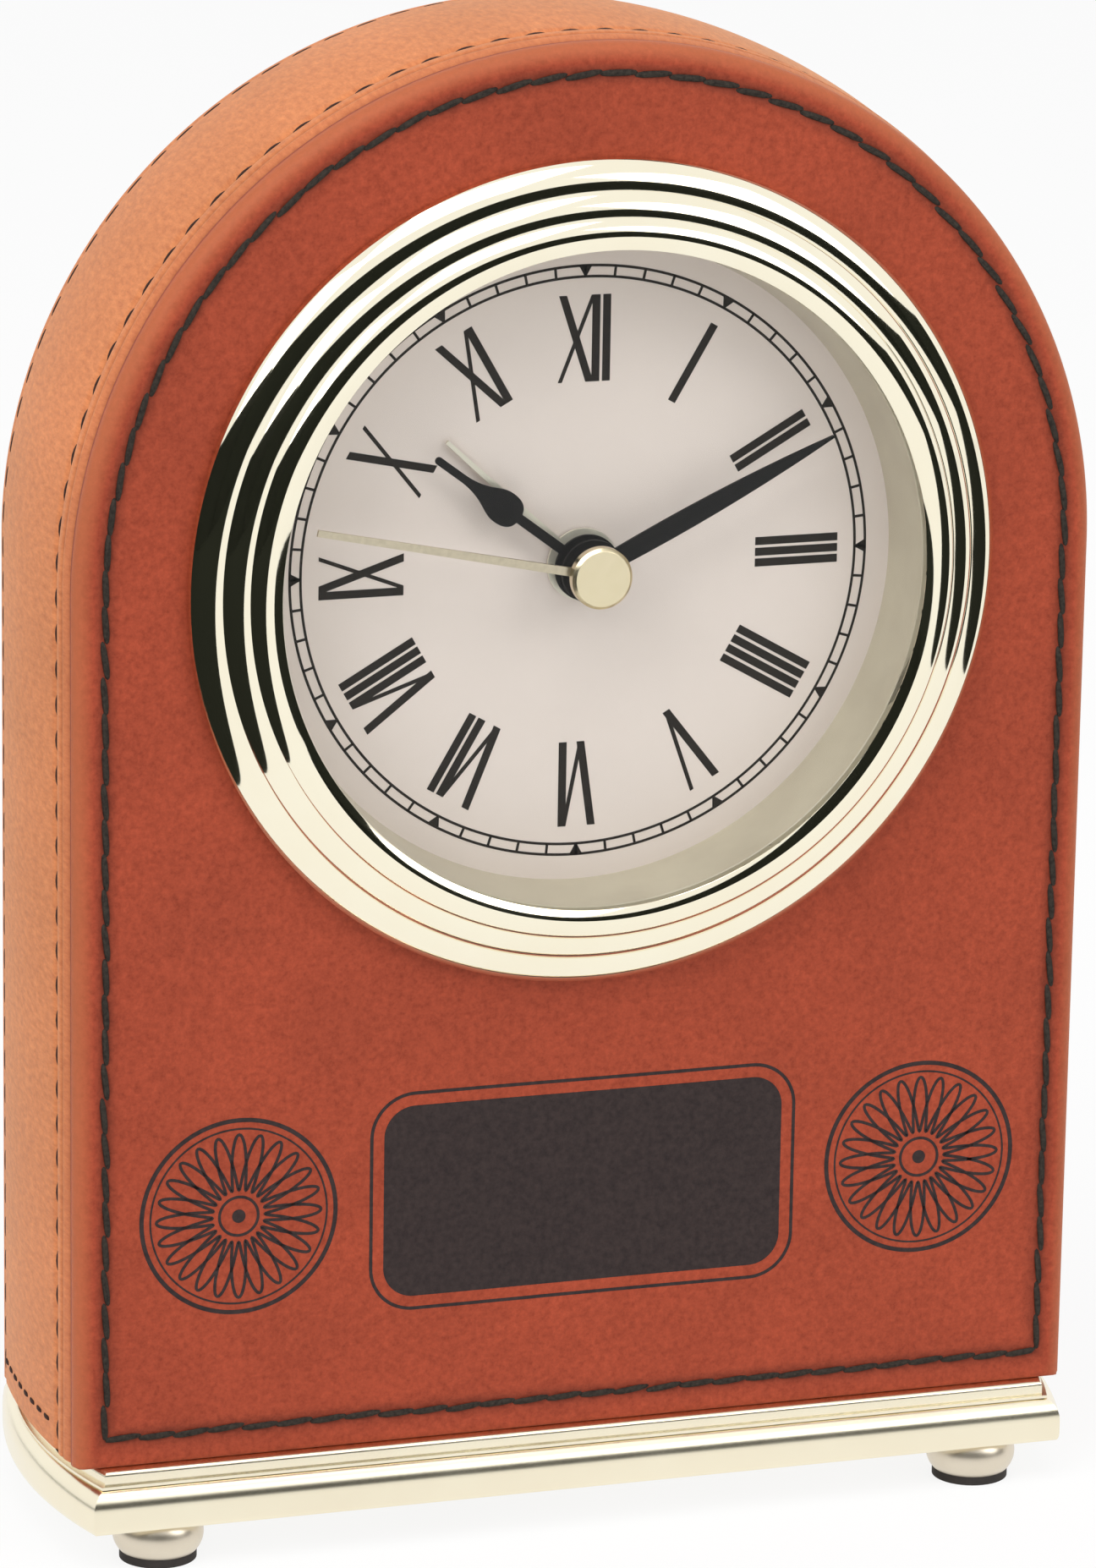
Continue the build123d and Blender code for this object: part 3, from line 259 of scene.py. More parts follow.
def piece(name, grid, material, stands_for=(), rows_meet=False, columns_meet=False, edge=30,
          body="case", uv=None, marks=None):
    """A piece from one or more grids of points in millimetres, shaped copies, rows, columns, xyz. Points
    that coincide are merged, so that seams and poles close, and the faces are turned outwards. Edges sharper
    than edge degrees stay sharp. uv and marks, where given, hold two numbers and one number for each
    point."""
    grid = np.asarray(grid, float)
    copies, rows, columns = grid.shape[:3]
    one = squares(rows, columns, rows_meet, columns_meet)
    faces = (one + rows * columns * np.arange(copies)[:, None, None]).reshape(-1, 4)
    mesh = bpy.data.meshes.new(name)
    mesh.from_pydata((grid.reshape(-1, 3) * MM).tolist(), [], faces.tolist())
    if uv is not None:
        layer = mesh.uv_layers.new(name="cut")
        layer.data.foreach_set("uv", np.asarray(uv, float).reshape(-1, 2)[faces.ravel()].ravel())
    if marks is not None:
        mark = mesh.attributes.new("mark", "FLOAT", "POINT")
        mark.data.foreach_set("value", np.asarray(marks, float).ravel())
    sewing = bmesh.new()
    sewing.from_mesh(mesh)
    bmesh.ops.remove_doubles(sewing, verts=sewing.verts, dist=1e-7)
    bmesh.ops.recalc_face_normals(sewing, faces=sewing.faces)
    sewing.to_mesh(mesh)
    sewing.free()
    mesh.shade_smooth()
    mesh.set_sharp_from_angle(angle=np.radians(edge))
    mesh.materials.append(material)
    made = bpy.data.objects.new(name, mesh)
    scene.collection.objects.link(made)
    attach(made, body)
    if stands_for:
        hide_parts(*stands_for)
    return made


def dress(material, *names):
    """Gives CAD nodes their finish."""
    for name in names:
        nodes[name].data.materials.clear()
        nodes[name].data.materials.append(material)


def bend(start, through, end, count):
    """Points on the arc through three points: the circle's centre is where the upright bisectors of the
    chords meet."""
    a, b, c = (np.array(p, float) for p in (start, through, end))
    sides = 2 * np.array([b - a, c - a])
    centre = np.linalg.solve(sides, [b @ b - a @ a, c @ c - a @ a])
    first, middle, last = (np.arctan2(*(p - centre)[::-1]) for p in (a, b, c))
    sweep = (last - first) % (2 * np.pi)
    if (middle - first) % (2 * np.pi) > sweep:
        sweep -= 2 * np.pi
    angle = first + sweep * np.linspace(0, 1, count)
    return centre + np.linalg.norm(a - centre) * np.stack([np.cos(angle), np.sin(angle)], axis=1)


def lathe(profile, steps):
    """A profile of radius and height turned about an upright line: x and y are the radius times the cosine
    and sine of the angle."""
    angle = np.linspace(0, 2 * np.pi, steps, endpoint=False)
    radius, height = np.asarray(profile).T[:, :, None]
    return np.stack([radius * np.cos(angle), radius * np.sin(angle), height + 0 * angle], axis=-1)


dull_gold = finish("satin_gold_feet", (0.78, 0.70, 0.57), (0.74, 0.66, 0.53), 4, (0.30, 0.36), metal=1)
foot_low, foot_high = box_mm("ball_feet")
base_low, base_high = box_mm("base_plate")
foot_at = box_mm("foot_pads")[1][2]
foot_h = base_low[2] - foot_at
widest = FOOT_R, foot_at + BALL_MIDDLE * foot_h
foot_side = bend((NECK_R, foot_at), widest, (NECK_R, foot_at + foot_h), count=15)
foot_profile = np.concatenate([[(0, foot_at)], foot_side, [(0, foot_at + foot_h)]])
foot_x = foot_high[0] - FOOT_R
foot_y = [foot_low[1] + FOOT_R, foot_high[1] - FOOT_R]
foot_places = np.array([(x, y, 0) for x in (-foot_x, foot_x) for y in foot_y])
feet = lathe(foot_profile, steps=64) + foot_places[:, None, None, :]
piece("ball_feet_turned", feet, dull_gold, ["ball_feet"], columns_meet=True)
rubber = finish("black_rubber", (0.035, 0.028, 0.024), (0.020, 0.016, 0.014), 0.6, (0.7, 0.9), relief=0.02)
dress(rubber, "foot_pads")

# Base: a zinc casting with a square slab, a fine line and a stepped top, its two ends curved and its corners
# left sharp, polished and plated pale gold. Two steel screws hold it to the case from below.
base_gold = finish("satin_gold_plate", (0.94, 0.87, 0.68), (0.91, 0.83, 0.64), 9, (0.20, 0.26), metal=1)
BASE_SAGITTA = 2.8
SLAB_TOP = 4.4
SLAB_ROUND, SLAB_ROUND_H = 1.6, 2.2
SLAB_FOOT, SLAB_FOOT_H = 0.3, 0.9
LINE_IN, LINE_TOP = 1.1, 4.7
STEP_IN, STEP_ROUND = 1.5, 0.5
ROUND_MIDDLE = 0.293 * STEP_ROUND
END_POINTS = 24
base_middle = (base_low + base_high) / 2
half_long, half_deep, base_h = (base_high - base_low) / 2 * np.array([1, 1, 2])


def base_plan(inset):
    """The base seen from above, a loop of points inset from its edge: two straight sides and two shallow
    arcs. Each arc's circle follows from its chord and its sagitta."""
    deep = half_deep - inset
    corner = half_long - BASE_SAGITTA - inset
    radius = (deep ** 2 + BASE_SAGITTA ** 2) / (2 * BASE_SAGITTA)
    reach = np.arcsin(deep / radius)
    swing = np.linspace(-reach, reach, END_POINTS)
    run = np.linspace(-1, 1, 3 * END_POINTS)[1:-1]
    crown = corner + BASE_SAGITTA
    right = np.stack([crown - radius + radius * np.cos(swing), radius * np.sin(swing)], axis=1)
    rear = np.stack([-corner * run, deep + 0 * run], axis=1)
    return np.concatenate([right, rear, -right, -rear])


def base_ring(inset, height):
    """One level of the base: its plan at an inset, all at one height."""
    plan = base_plan(inset)
    return np.concatenate([plan, np.full((len(plan), 1), height)], axis=1)


quarter = np.linspace(0, np.pi / 2, 15)
slab_round = np.stack([
    SLAB_ROUND * (1 - np.cos(quarter)), SLAB_TOP + SLAB_ROUND_H * (np.sin(quarter) - 1),
], axis=1)
slab_foot = np.stack([
    SLAB_FOOT * (1 - np.cos(quarter[::-2])), SLAB_FOOT_H * (1 - np.sin(quarter[::-2])),
], axis=1)
step_round = bend(
    (STEP_IN, base_h - STEP_ROUND), (STEP_IN + ROUND_MIDDLE, base_h - ROUND_MIDDLE),
    (STEP_IN + STEP_ROUND, base_h), count=7,
)
base_profile = np.concatenate([
    slab_foot, slab_round, [(LINE_IN, SLAB_TOP), (LINE_IN, LINE_TOP), (STEP_IN, LINE_TOP)], step_round,
])
rings = np.stack([base_ring(inset, height) for inset, height in base_profile])
floor_ring, roof_ring = rings[:1] * [0, 0, 1], rings[-1:] * [0, 0, 1]
base_grid = np.concatenate([floor_ring, rings, roof_ring]) + [base_middle[0], base_middle[1], base_low[2]]
piece("base_casting", base_grid[None], base_gold, ["base_plate"], columns_meet=True, edge=25)
steel = finish("zinc_plated_steel", (0.62, 0.62, 0.60), (0.45, 0.45, 0.44), 0.8, (0.28, 0.42), metal=1)
dress(steel, "base_screws")

# Shell: the body of the case, moulded in black plastic. The front panel, the side band and the back board
# are fixed to it and hide it except at the back opening.
black_plastic = finish("black_plastic", (0.030, 0.030, 0.032), (0.018, 0.018, 0.019), 0.35, (0.42, 0.58),
                       relief=0.02)
dress(black_plastic, "case_shell")

# Front: leatherette drawn over a padded arched board and rolled round its edge. It is glued, then sewn down
# by a line of thick thread that pulls it in, so it stands up a little between the stitches and the edge.
panel_low, panel_high = box_mm("front_panel")
sleeve_low, sleeve_high = box_mm("bezel")
AXIS_Z = (sleeve_low[2] + sleeve_high[2]) / 2
FRONT_Y = panel_low[1]
DRAWN_IN = 0.35
EDGE = panel_high[0] - DRAWN_IN
LEG = AXIS_Z - panel_low[2]
BOARD_T = panel_high[1] - panel_low[1]
ROLL_R = 1.7
FOOT_ROLL_R = 0.5
HOLE_R = 38.6
SEAM_IN = 3.0
SEAM_DEPTH, SEAM_SPREAD = 0.22, 0.7
WAVE, WAVE_FADE = 0.03, 4.0
WAVE_ONE, WAVE_OTHER, WAVE_SHIFT = (0.23, 0.11), (0.12, -0.21), 1.3
# Widths of the painted shade along the seam, and of the painted highlight, with some wear, on the rolled
# edge.
PAINTED_SHADE_AT_SEAM_SPREAD, EDGE_WEAR_AND_HIGHLIGHT_SPREAD = 0.9, 1.3
ARCH_POINTS, FOOT_POINTS = 780, 242
NEAR_STEP, NEAR_END = 0.25, 7.2
ROLL_ROWS, FAR_ROWS = 11, 24


def clock(x, y, height):
    """Places right of the hands' axis, above it and ahead of the leather front, as x, y and z of the
    table."""
    x, y, height = np.broadcast_arrays(x, y, height)
    return np.stack([x, FRONT_Y - height, AXIS_Z + y], axis=-1)


def over_arch(run, radius, edge=EDGE, leg=LEG):
    """Places along the arch, from the foot of the left leg over the top to the foot of the right leg. run is
    the length along an arch of radius edge. The point is the radius times the turned direction, less the
    drop down a leg."""
    turn = np.clip((run - leg) / edge, 0, np.pi)
    drop = np.maximum(leg - run, 0) + np.maximum(run - leg - np.pi * edge, 0)
    return -radius * np.cos(turn), radius * np.sin(turn) - drop


def side_distance(x, y):
    """How far a place on the front is in from the arch's rounded edge or its legs."""
    return np.where(y > 0, EDGE - np.hypot(x, y), EDGE - np.abs(x))


def edge_distance(x, y):
    """How far a place on the front is in from the nearest edge, the bottom edge among them."""
    return np.minimum(side_distance(x, y), y + LEG)


def rolled(inside, radius):
    """Drop of a quarter round at an edge: the square root of the radius squared less the square of what is
    left of it, less the radius."""
    short = np.clip(radius - inside, 0, radius)
    return np.sqrt(radius ** 2 - short ** 2) - radius


def front_height(x, y):
    """Height of the leather: a quarter round at the edge, tighter along the bottom, a soft dip along the
    seam, and long faint waves."""
    inside = edge_distance(x, y)
    height = np.minimum(rolled(side_distance(x, y), ROLL_R), rolled(y + LEG, FOOT_ROLL_R))
    height -= SEAM_DEPTH * np.exp(-((inside - SEAM_IN) / SEAM_SPREAD) ** 2)
    share = np.clip((inside - SEAM_IN) / WAVE_FADE, 0, 1)
    one = np.sin(WAVE_ONE[0] * x + WAVE_ONE[1] * y)
    other = np.sin(WAVE_OTHER[0] * x + WAVE_OTHER[1] * y + WAVE_SHIFT)
    return height + WAVE * share * (one + other - 1)


arch_length = 2 * LEG + np.pi * EDGE
arch_run = np.linspace(0, arch_length, ARCH_POINTS)
foot_run = np.linspace(EDGE, -EDGE, FOOT_POINTS)[1:-1]
arch_x, arch_y = over_arch(arch_run, EDGE)
rim_x = np.concatenate([arch_x, foot_run])
rim_y = np.concatenate([arch_y, -LEG + 0 * foot_run])
reach = np.hypot(rim_x, rim_y)
near_edge = ROLL_R * (1 - np.cos(np.linspace(0, np.pi / 2, ROLL_ROWS)))
near = np.concatenate([near_edge, np.arange(ROLL_R + NEAR_STEP, NEAR_END, NEAR_STEP)])
far = near[-1] + np.linspace(0, 1, FAR_ROWS)[1:, None] * (reach - HOLE_R - near[-1])
inward = np.concatenate([near[:, None] + 0 * reach, far])
share = 1 - inward / reach
front_x, front_y = share * rim_x, share * rim_y
front = clock(front_x, front_y, front_height(front_x, front_y))
hidden = np.stack([clock(front_x[-1], front_y[-1], -BOARD_T), clock(rim_x, rim_y, -BOARD_T)])
panel_grid = np.concatenate([front, hidden])
# Marks on the front: painted shade in the dip along the seam and on the hidden rim row, so the crease behind
# the rolled edge darkens. The rolled side edges lighten to tan, a painted highlight with some wear.
painted_shade_at_seam = np.exp(-((edge_distance(front_x, front_y) - SEAM_IN) / PAINTED_SHADE_AT_SEAM_SPREAD) ** 2)
edge_wear_and_highlight = np.exp(-(side_distance(front_x, front_y) / EDGE_WEAR_AND_HIGHLIGHT_SPREAD) ** 2)
hidden_rim_painted_shade = np.stack([0 * reach, 0 * reach - 1])
panel_marks = np.concatenate([edge_wear_and_highlight - painted_shade_at_seam, hidden_rim_painted_shade])


def leather(name, pale, deep, stretch=(1, 1, 1), along="Object", grain=0.6, bloom=0.2):
    """Leatherette: a fine two-shade grain with a pebble relief, under broad soft clouds. The mark of each
    point paints shade into seams and creases where it is below nothing, and where it is above it lightens
    edges to tan, a painted highlight with some wear."""
    material = finish(name, pale, deep, grain, (0.48, 0.62), stretch=stretch, along=along, relief=0.05,
                      specular=0.22)
    tree = material.node_tree
    shader = tree.nodes["Principled BSDF"]
    shades = first(tree, "Mix")
    cloud_bump = first(tree, "Bump")
    scale = first(tree, "Mapping")
    suede = first(tree, "TexNoise")
    suede.inputs["Detail"].default_value = 7
    suede.inputs["Roughness"].default_value = 0.72
    pebble = tree.nodes.new("ShaderNodeTexVoronoi")
    pebble.feature = "SMOOTH_F1"
    pebble.inputs["Scale"].default_value = 1.6
    pebble_bump = tree.nodes.new("ShaderNodeBump")
    pebble_bump.inputs["Strength"].default_value = 0.5
    pebble_bump.inputs["Distance"].default_value = 0.04 * MM
    clouds = tree.nodes.new("ShaderNodeTexNoise")
    clouds.inputs["Scale"].default_value = 0.05
    clouds.inputs["Detail"].default_value = 3
    cloudy = ranged(tree, 0.3, 0.7, 0.93, 1.07)
    mark = tree.nodes.new("ShaderNodeAttribute")
    mark.attribute_name = "mark"
    # Painted shade: a mark of -1 darkens the colour to 0.55 of itself.
    painted_shade_factor = ranged(tree, -1, 0, 0.55, 1)
    value = tree.nodes.new("ShaderNodeMath")
    value.operation = "MULTIPLY"
    clouded_and_shaded = tree.nodes.new("ShaderNodeHueSaturation")
    # Painted highlight with some wear: a mark of 1 mixes 0.6 of the tan below into the colour.
    highlight_and_wear_share = ranged(tree, 0, 1, 0, 0.6)
    highlight_and_wear_mix = tree.nodes.new("ShaderNodeMix")
    highlight_and_wear_mix.name = "highlight_and_wear_mix"
    highlight_and_wear_mix.data_type = "RGBA"
    highlight_and_wear_mix.inputs["B"].default_value = (0.55, 0.170, 0.068, 1)
    tree.links.new(scale.outputs["Vector"], pebble.inputs["Vector"])
    tree.links.new(pebble.outputs["Distance"], pebble_bump.inputs["Height"])
    tree.links.new(cloud_bump.outputs["Normal"], pebble_bump.inputs["Normal"])
    tree.links.new(pebble_bump.outputs["Normal"], shader.inputs["Normal"])
    tree.links.new(scale.outputs["Vector"], clouds.inputs["Vector"])
    tree.links.new(clouds.outputs["Fac"], cloudy.inputs["Value"])
    tree.links.new(mark.outputs["Fac"], painted_shade_factor.inputs["Value"])
    tree.links.new(cloudy.outputs["Result"], value.inputs[0])
    tree.links.new(painted_shade_factor.outputs["Result"], value.inputs[1])
    tree.links.new(value.outputs[0], clouded_and_shaded.inputs["Value"])
    tree.links.new(shades.outputs["Result"], clouded_and_shaded.inputs["Color"])
    tree.links.new(mark.outputs["Fac"], highlight_and_wear_share.inputs["Value"])
    tree.links.new(highlight_and_wear_share.outputs["Result"], highlight_and_wear_mix.inputs["Factor"])
    tree.links.new(clouded_and_shaded.outputs["Color"], highlight_and_wear_mix.inputs["A"])
    tree.links.new(highlight_and_wear_mix.outputs["Result"], shader.inputs["Base Color"])
    shader.inputs["Sheen Weight"].default_value = bloom
    shader.inputs["Sheen Roughness"].default_value = 0.3
    shader.inputs["Sheen Tint"].default_value = (1.0, 0.72, 0.42, 1)
    return material


RUST_PALE, RUST_DEEP = (0.44, 0.074, 0.032), (0.26, 0.037, 0.014)
rust_leather = leather("rust_leatherette", RUST_PALE, RUST_DEEP)
front_leather = piece("front_leather", panel_grid[None], rust_leather, ["front_panel"],
                      rows_meet=True, columns_meet=True, edge=80, marks=panel_marks)

# Front stitching: one thick waxed dark thread, sewn all round the panel. Each stitch lies a little aslant
# and dives into the leather at both ends.
STITCH = 3.57
THREAD_WIDE, THREAD_HIGH = 0.33, 0.22
THREAD_BOW, THREAD_SUNK = 0.16, 0.04
THREAD_ROWS, THREAD_SIDES = 7, 8
BLUNT_END = 0.9999
SLANT = 0.17
OVERLAP = 0.06
UNEVEN = 0.05
SEAM_EDGE, SEAM_LEG = EDGE - SEAM_IN, LEG - SEAM_IN
seam_arch = 2 * SEAM_LEG + np.pi * SEAM_EDGE
seam_length = seam_arch + 2 * SEAM_EDGE


def front_seam(run, out):
    """Places along the front seam, moved outwards by out: over the arch, then back along the bottom."""
    arch_x, arch_y = over_arch(run, SEAM_EDGE + out, SEAM_EDGE, SEAM_LEG)
    on_arch = run < seam_arch
    x = np.where(on_arch, arch_x, SEAM_EDGE - (run - seam_arch))
    return x, np.where(on_arch, arch_y, -SEAM_LEG - out)


def stitch_body(half_wide, half_high):
    """One thread's own shape: share along it, then its width and height at each angle round it. It swells
    in the middle and rounds off bluntly: the square of its width falls with the fifth power of the distance
    from its middle."""
    share = (1 - np.cos(np.linspace(0, np.pi, THREAD_ROWS)))[:, None] / 2
    angle = np.linspace(0, 2 * np.pi, THREAD_SIDES, endpoint=False)
    thick = np.sqrt(1 - BLUNT_END * np.abs(2 * share - 1) ** 5)
    return share, half_wide * thick * np.cos(angle), half_high * thick * np.sin(angle)


thread = finish("dark_waxed_thread", (0.048, 0.040, 0.031), (0.014, 0.010, 0.008), 0.4, (0.65, 0.85),
                relief=0.06, specular=0.2)
count = round(seam_length / STITCH)
starts = np.arange(count)[:, None, None] * seam_length / count
share, wide, high = stitch_body(THREAD_WIDE, THREAD_HIGH)
stitch_run = starts + ((1 + 2 * OVERLAP) * share - OVERLAP) * seam_length / count
stitch_run = stitch_run % seam_length
by_hand = np.random.default_rng(3).normal(0, UNEVEN, (2, count, 1, 1))
slant = by_hand[0] + (SLANT + by_hand[1]) * (share - 0.5) * 2
lie_x, lie_y = front_seam(stitch_run, slant)
out_x, out_y = front_seam(stitch_run, slant + wide)
rise = front_height(lie_x, lie_y) + THREAD_BOW * np.sin(np.pi * share) - THREAD_SUNK + high
piece("front_stitches", clock(out_x, out_y, rise), thread, columns_meet=True)

# Engraving on the front: a laser burns the leatherette dark. A plain rounded plaque with a fine border is in
# the middle, and a line rosette stands on each side of it.
PLAQUE_Y = -63.5
PLAQUE_HALF = 21.0, 10.0
PLAQUE_ROUND = 3.2
PLAQUE_RINGS = 28
BORDER_OUT, BORDER_LINE = 1.3, 0.35
ROSETTE_X = 36.0
ROSETTE_R = 10.0
LOOP = 360
BURN, BURN_FOOT = 0.015, -0.1


def rounded_loop(half_x, half_y, corner):
    """Loop round a rectangle with round corners: a quarter circle at each corner, joined by straight runs,
    with its points spread evenly along its length."""
    turn = (np.arange(LOOP + 1) + 0.5) * 2 * np.pi / LOOP
    x = np.sign(np.cos(turn)) * (half_x - corner) + corner * np.cos(turn)
    y = np.sign(np.sin(turn)) * (half_y - corner) + corner * np.sin(turn)
    length = np.concatenate([[0], np.cumsum(np.hypot(np.diff(x), np.diff(y)))])
    even = np.linspace(0, length[-1], LOOP, endpoint=False)
    return np.interp(even, length, x), np.interp(even, length, y)


def burnt_line(x, y, width):
    """A fine line round a closed loop: at each point, four corners of a flat strip across the loop, sunk in
    the leather but for its face. The crossways direction is the loop's own direction turned a quarter."""
    along_x, along_y = np.roll(x, -1) - np.roll(x, 1), np.roll(y, -1) - np.roll(y, 1)
    long = np.maximum(np.hypot(along_x, along_y), 1e-9)
    side = np.array([-0.5, 0.5, 0.5, -0.5]) * width
    strip_x = x[:, None] - side * (along_y / long)[:, None]
    strip_y = y[:, None] + side * (along_x / long)[:, None]
    depth = np.array([BURN, BURN, BURN_FOOT, BURN_FOOT])
    return clock(strip_x, strip_y, front_height(strip_x, strip_y) + depth)


burnt = finish("burnt_engraving", (0.045, 0.030, 0.028), (0.022, 0.014, 0.014), 0.6, (0.6, 0.8), relief=0.03,
               specular=0.25)
loop_x, loop_y = rounded_loop(*PLAQUE_HALF, PLAQUE_ROUND)
shrink = np.concatenate([[0, 1], np.linspace(1, 0, PLAQUE_RINGS)])[:, None]
plaque_x, plaque_y = shrink * loop_x, PLAQUE_Y + shrink * loop_y
plaque_depth = np.concatenate([[BURN_FOOT, BURN_FOOT], np.full(PLAQUE_RINGS, BURN)])[:, None]
plaque = clock(plaque_x, plaque_y, front_height(plaque_x, plaque_y) + plaque_depth)
piece("engraved_plaque", plaque[None], burnt, columns_meet=True)
turn = np.linspace(0, 2 * np.pi, LOOP, endpoint=False)
border_x, border_y = rounded_loop(*(size + BORDER_OUT for size in (*PLAQUE_HALF, PLAQUE_ROUND)))
lines = [burnt_line(border_x, PLAQUE_Y + border_y, BORDER_LINE)]
PETALS, PETAL_MIDDLE, PETAL_SWING = 12, 5.6, 2.9
# Each ring of a rosette is its middle radius, how far it swings in and out, and its line's width.
ROSETTE_RINGS = [
    (ROSETTE_R, 0, 0.45), (ROSETTE_R - 0.9, 0, 0.2), (PETAL_MIDDLE, PETAL_SWING, 0.32),
    (PETAL_MIDDLE, -PETAL_SWING, 0.32), (2.0, 0, 0.3), (0.35, 0, 0.7),
]
for side in (-1, 1):
    for radius, swing, width in ROSETTE_RINGS:
        ring = radius + swing * np.cos(PETALS * turn)
        ring_x, ring_y = side * ROSETTE_X + ring * np.cos(turn), PLAQUE_Y + ring * np.sin(turn)
        lines.append(burnt_line(ring_x, ring_y, width))
piece("engraved_lines", np.stack(lines), burnt, rows_meet=True, columns_meet=True, edge=60)

# Side band: a strip of the same leatherette carried over the arch and down both legs. Its front edge is
# turned to a round hem, sewn in a groove behind it, and a second seam runs near the rear edge.
band_low, band_high = box_mm("side_band")
BAND_FRONT, BAND_REAR = band_low[1] - FRONT_Y, band_high[1] - FRONT_Y
BAND_EDGE = 52.4
BULGE = 1.2
HEM_W, HEM_TUCK_SHARE = 4.4, 0.2
GROOVE = 0.35
HEM_PROUD, HEM_TUCK = 0.7 * GROOVE, 0.5 * GROOVE
FOLD_DEPTH, HEM_DEPTH, REAR_DEPTH = 0.4 * GROOVE, 0.7 * GROOVE, 0.12
FOLD_SPREAD, SEW_SPREAD = 0.25, 0.5
SKIN = 1.2
REAR_ROUND, REAR_TUCK = 2.6, 0.9
BAND_POINTS = 620
HEM_ROWS, BAND_ROWS, REAR_ROWS, INNER_ROWS = 54, 20, 20, 6
REAR_SEAM = BAND_REAR - 3.2
HEM_SEAM = BAND_FRONT + HEM_W - 0.3
HEM_GROOVE = HEM_SEAM + 0.2
FOLD = BAND_FRONT + 0.5 * HEM_W


def band_radius(depth):
    """Outer radius of the band at a depth behind the front: a shallow circular swell between its edges."""
    half = (BAND_REAR - BAND_FRONT) / 2
    swell = (half ** 2 + BULGE ** 2) / (2 * BULGE)
    return BAND_EDGE + BULGE - swell + np.sqrt(swell ** 2 - (depth - BAND_FRONT - half) ** 2)


def band_surface(depth):
    """The band's outer face: the swell, with the hem standing proud, a fold along the hem, both seams pulled
    in and the rear edge rounded over."""
    hem = np.clip((depth - BAND_FRONT) / HEM_W, 0, 1)
    proud = HEM_PROUD * np.sin(np.pi * hem) - HEM_TUCK * (1 - np.clip(hem / HEM_TUCK_SHARE, 0, 1)) ** 2
    fold = FOLD_DEPTH * np.exp(-((depth - FOLD) / FOLD_SPREAD) ** 2)
    groove = HEM_DEPTH * np.exp(-((depth - HEM_GROOVE) / SEW_SPREAD) ** 2)
    rear = REAR_DEPTH * np.exp(-((depth - REAR_SEAM) / SEW_SPREAD) ** 2)
    tuck = REAR_TUCK * np.clip((depth - BAND_REAR + REAR_ROUND) / REAR_ROUND, 0, 1) ** 2
    return band_radius(depth) + proud - fold - groove - rear - tuck


# The rows lie closer together at the hem and at the rear seam than between them.
HEM_ROWS_END, REAR_ROWS_START = BAND_FRONT + HEM_W + 1.5, REAR_SEAM - 1.3
BAND_ROWS_START, BAND_ROWS_END = HEM_ROWS_END + 0.5, REAR_ROWS_START - 0.2
outer_depth = np.concatenate([
    np.linspace(BAND_FRONT, HEM_ROWS_END, HEM_ROWS),
    np.linspace(BAND_ROWS_START, BAND_ROWS_END, BAND_ROWS),
    np.linspace(REAR_ROWS_START, BAND_REAR, REAR_ROWS),
])
inner_depth = np.linspace(BAND_REAR, BAND_FRONT, INNER_ROWS)
section_depth = np.concatenate([outer_depth, inner_depth])
section_r = np.concatenate([band_surface(outer_depth), band_radius(inner_depth) - SKIN])
band_run = np.linspace(0, arch_length, BAND_POINTS)
band_x, band_y = over_arch(band_run[:, None], section_r)
band = clock(band_x, band_y, -section_depth)
foot_caps = band[[0, -1]].mean(axis=1, keepdims=True) + 0 * band[[0, -1]]
band_grid = np.concatenate([foot_caps[:1], band, foot_caps[1:]])
band_uv = np.stack(np.broadcast_arrays(band_run[:, None], section_depth), axis=-1)
band_uv = np.concatenate([band_uv[:1], band_uv, band_uv[-1:]])
# Each line of painted shade along the band, in the hem's groove, along the fold and in the crease at its
# front edge, is how far it lies behind the front, how dark it is and how far it spreads.
PAINTED_SHADE_LINES = [(HEM_SEAM, 0.35, 0.35), (FOLD, 0.5, FOLD_SPREAD), (BAND_FRONT, 1.0, 0.6)]
band_painted_shade = 0 * band_grid[..., 0]
for depth, dark, spread in PAINTED_SHADE_LINES:
    band_painted_shade -= dark * np.exp(-((section_depth - depth) / spread) ** 2)
# The band's two shades are the rust leatherette lightened to tan: painted sheen and light on a band seen at
# a grazing angle. Near the front the hem keeps more of the rust.
tan_painted_sheen_leather = leather("tan_painted_sheen_leatherette", (0.80, 0.297, 0.115), (0.52, 0.158, 0.059), stretch=(1.2, 0.45, 1),
                      along="UV", grain=0.75, bloom=0.35)
tan_tree = tan_painted_sheen_leather.node_tree
tan_uv = first(tan_tree, "TexCoord")
tan_after_marks = tan_tree.nodes["highlight_and_wear_mix"]
behind_front = tan_tree.nodes.new("ShaderNodeSeparateXYZ")
on_hem = ranged(tan_tree, BAND_FRONT, HEM_SEAM, 0.3, 0)
on_hem.interpolation_type = "SMOOTHSTEP"
hem_shade = tan_tree.nodes.new("ShaderNodeMix")
hem_shade.data_type = "RGBA"
hem_shade.inputs["B"].default_value = (*RUST_PALE, 1)
tan_tree.links.new(tan_uv.outputs["UV"], behind_front.inputs["Vector"])
tan_tree.links.new(behind_front.outputs["Y"], on_hem.inputs["Value"])
tan_tree.links.new(on_hem.outputs["Result"], hem_shade.inputs["Factor"])
tan_tree.links.new(tan_after_marks.outputs["Result"], hem_shade.inputs["A"])
tan_tree.links.new(hem_shade.outputs["Result"], tan_tree.nodes["Principled BSDF"].inputs["Base Color"])
piece("band_leather", band_grid[None], tan_painted_sheen_leather, ["side_band"], columns_meet=True,
      edge=70, uv=band_uv, marks=band_painted_shade)

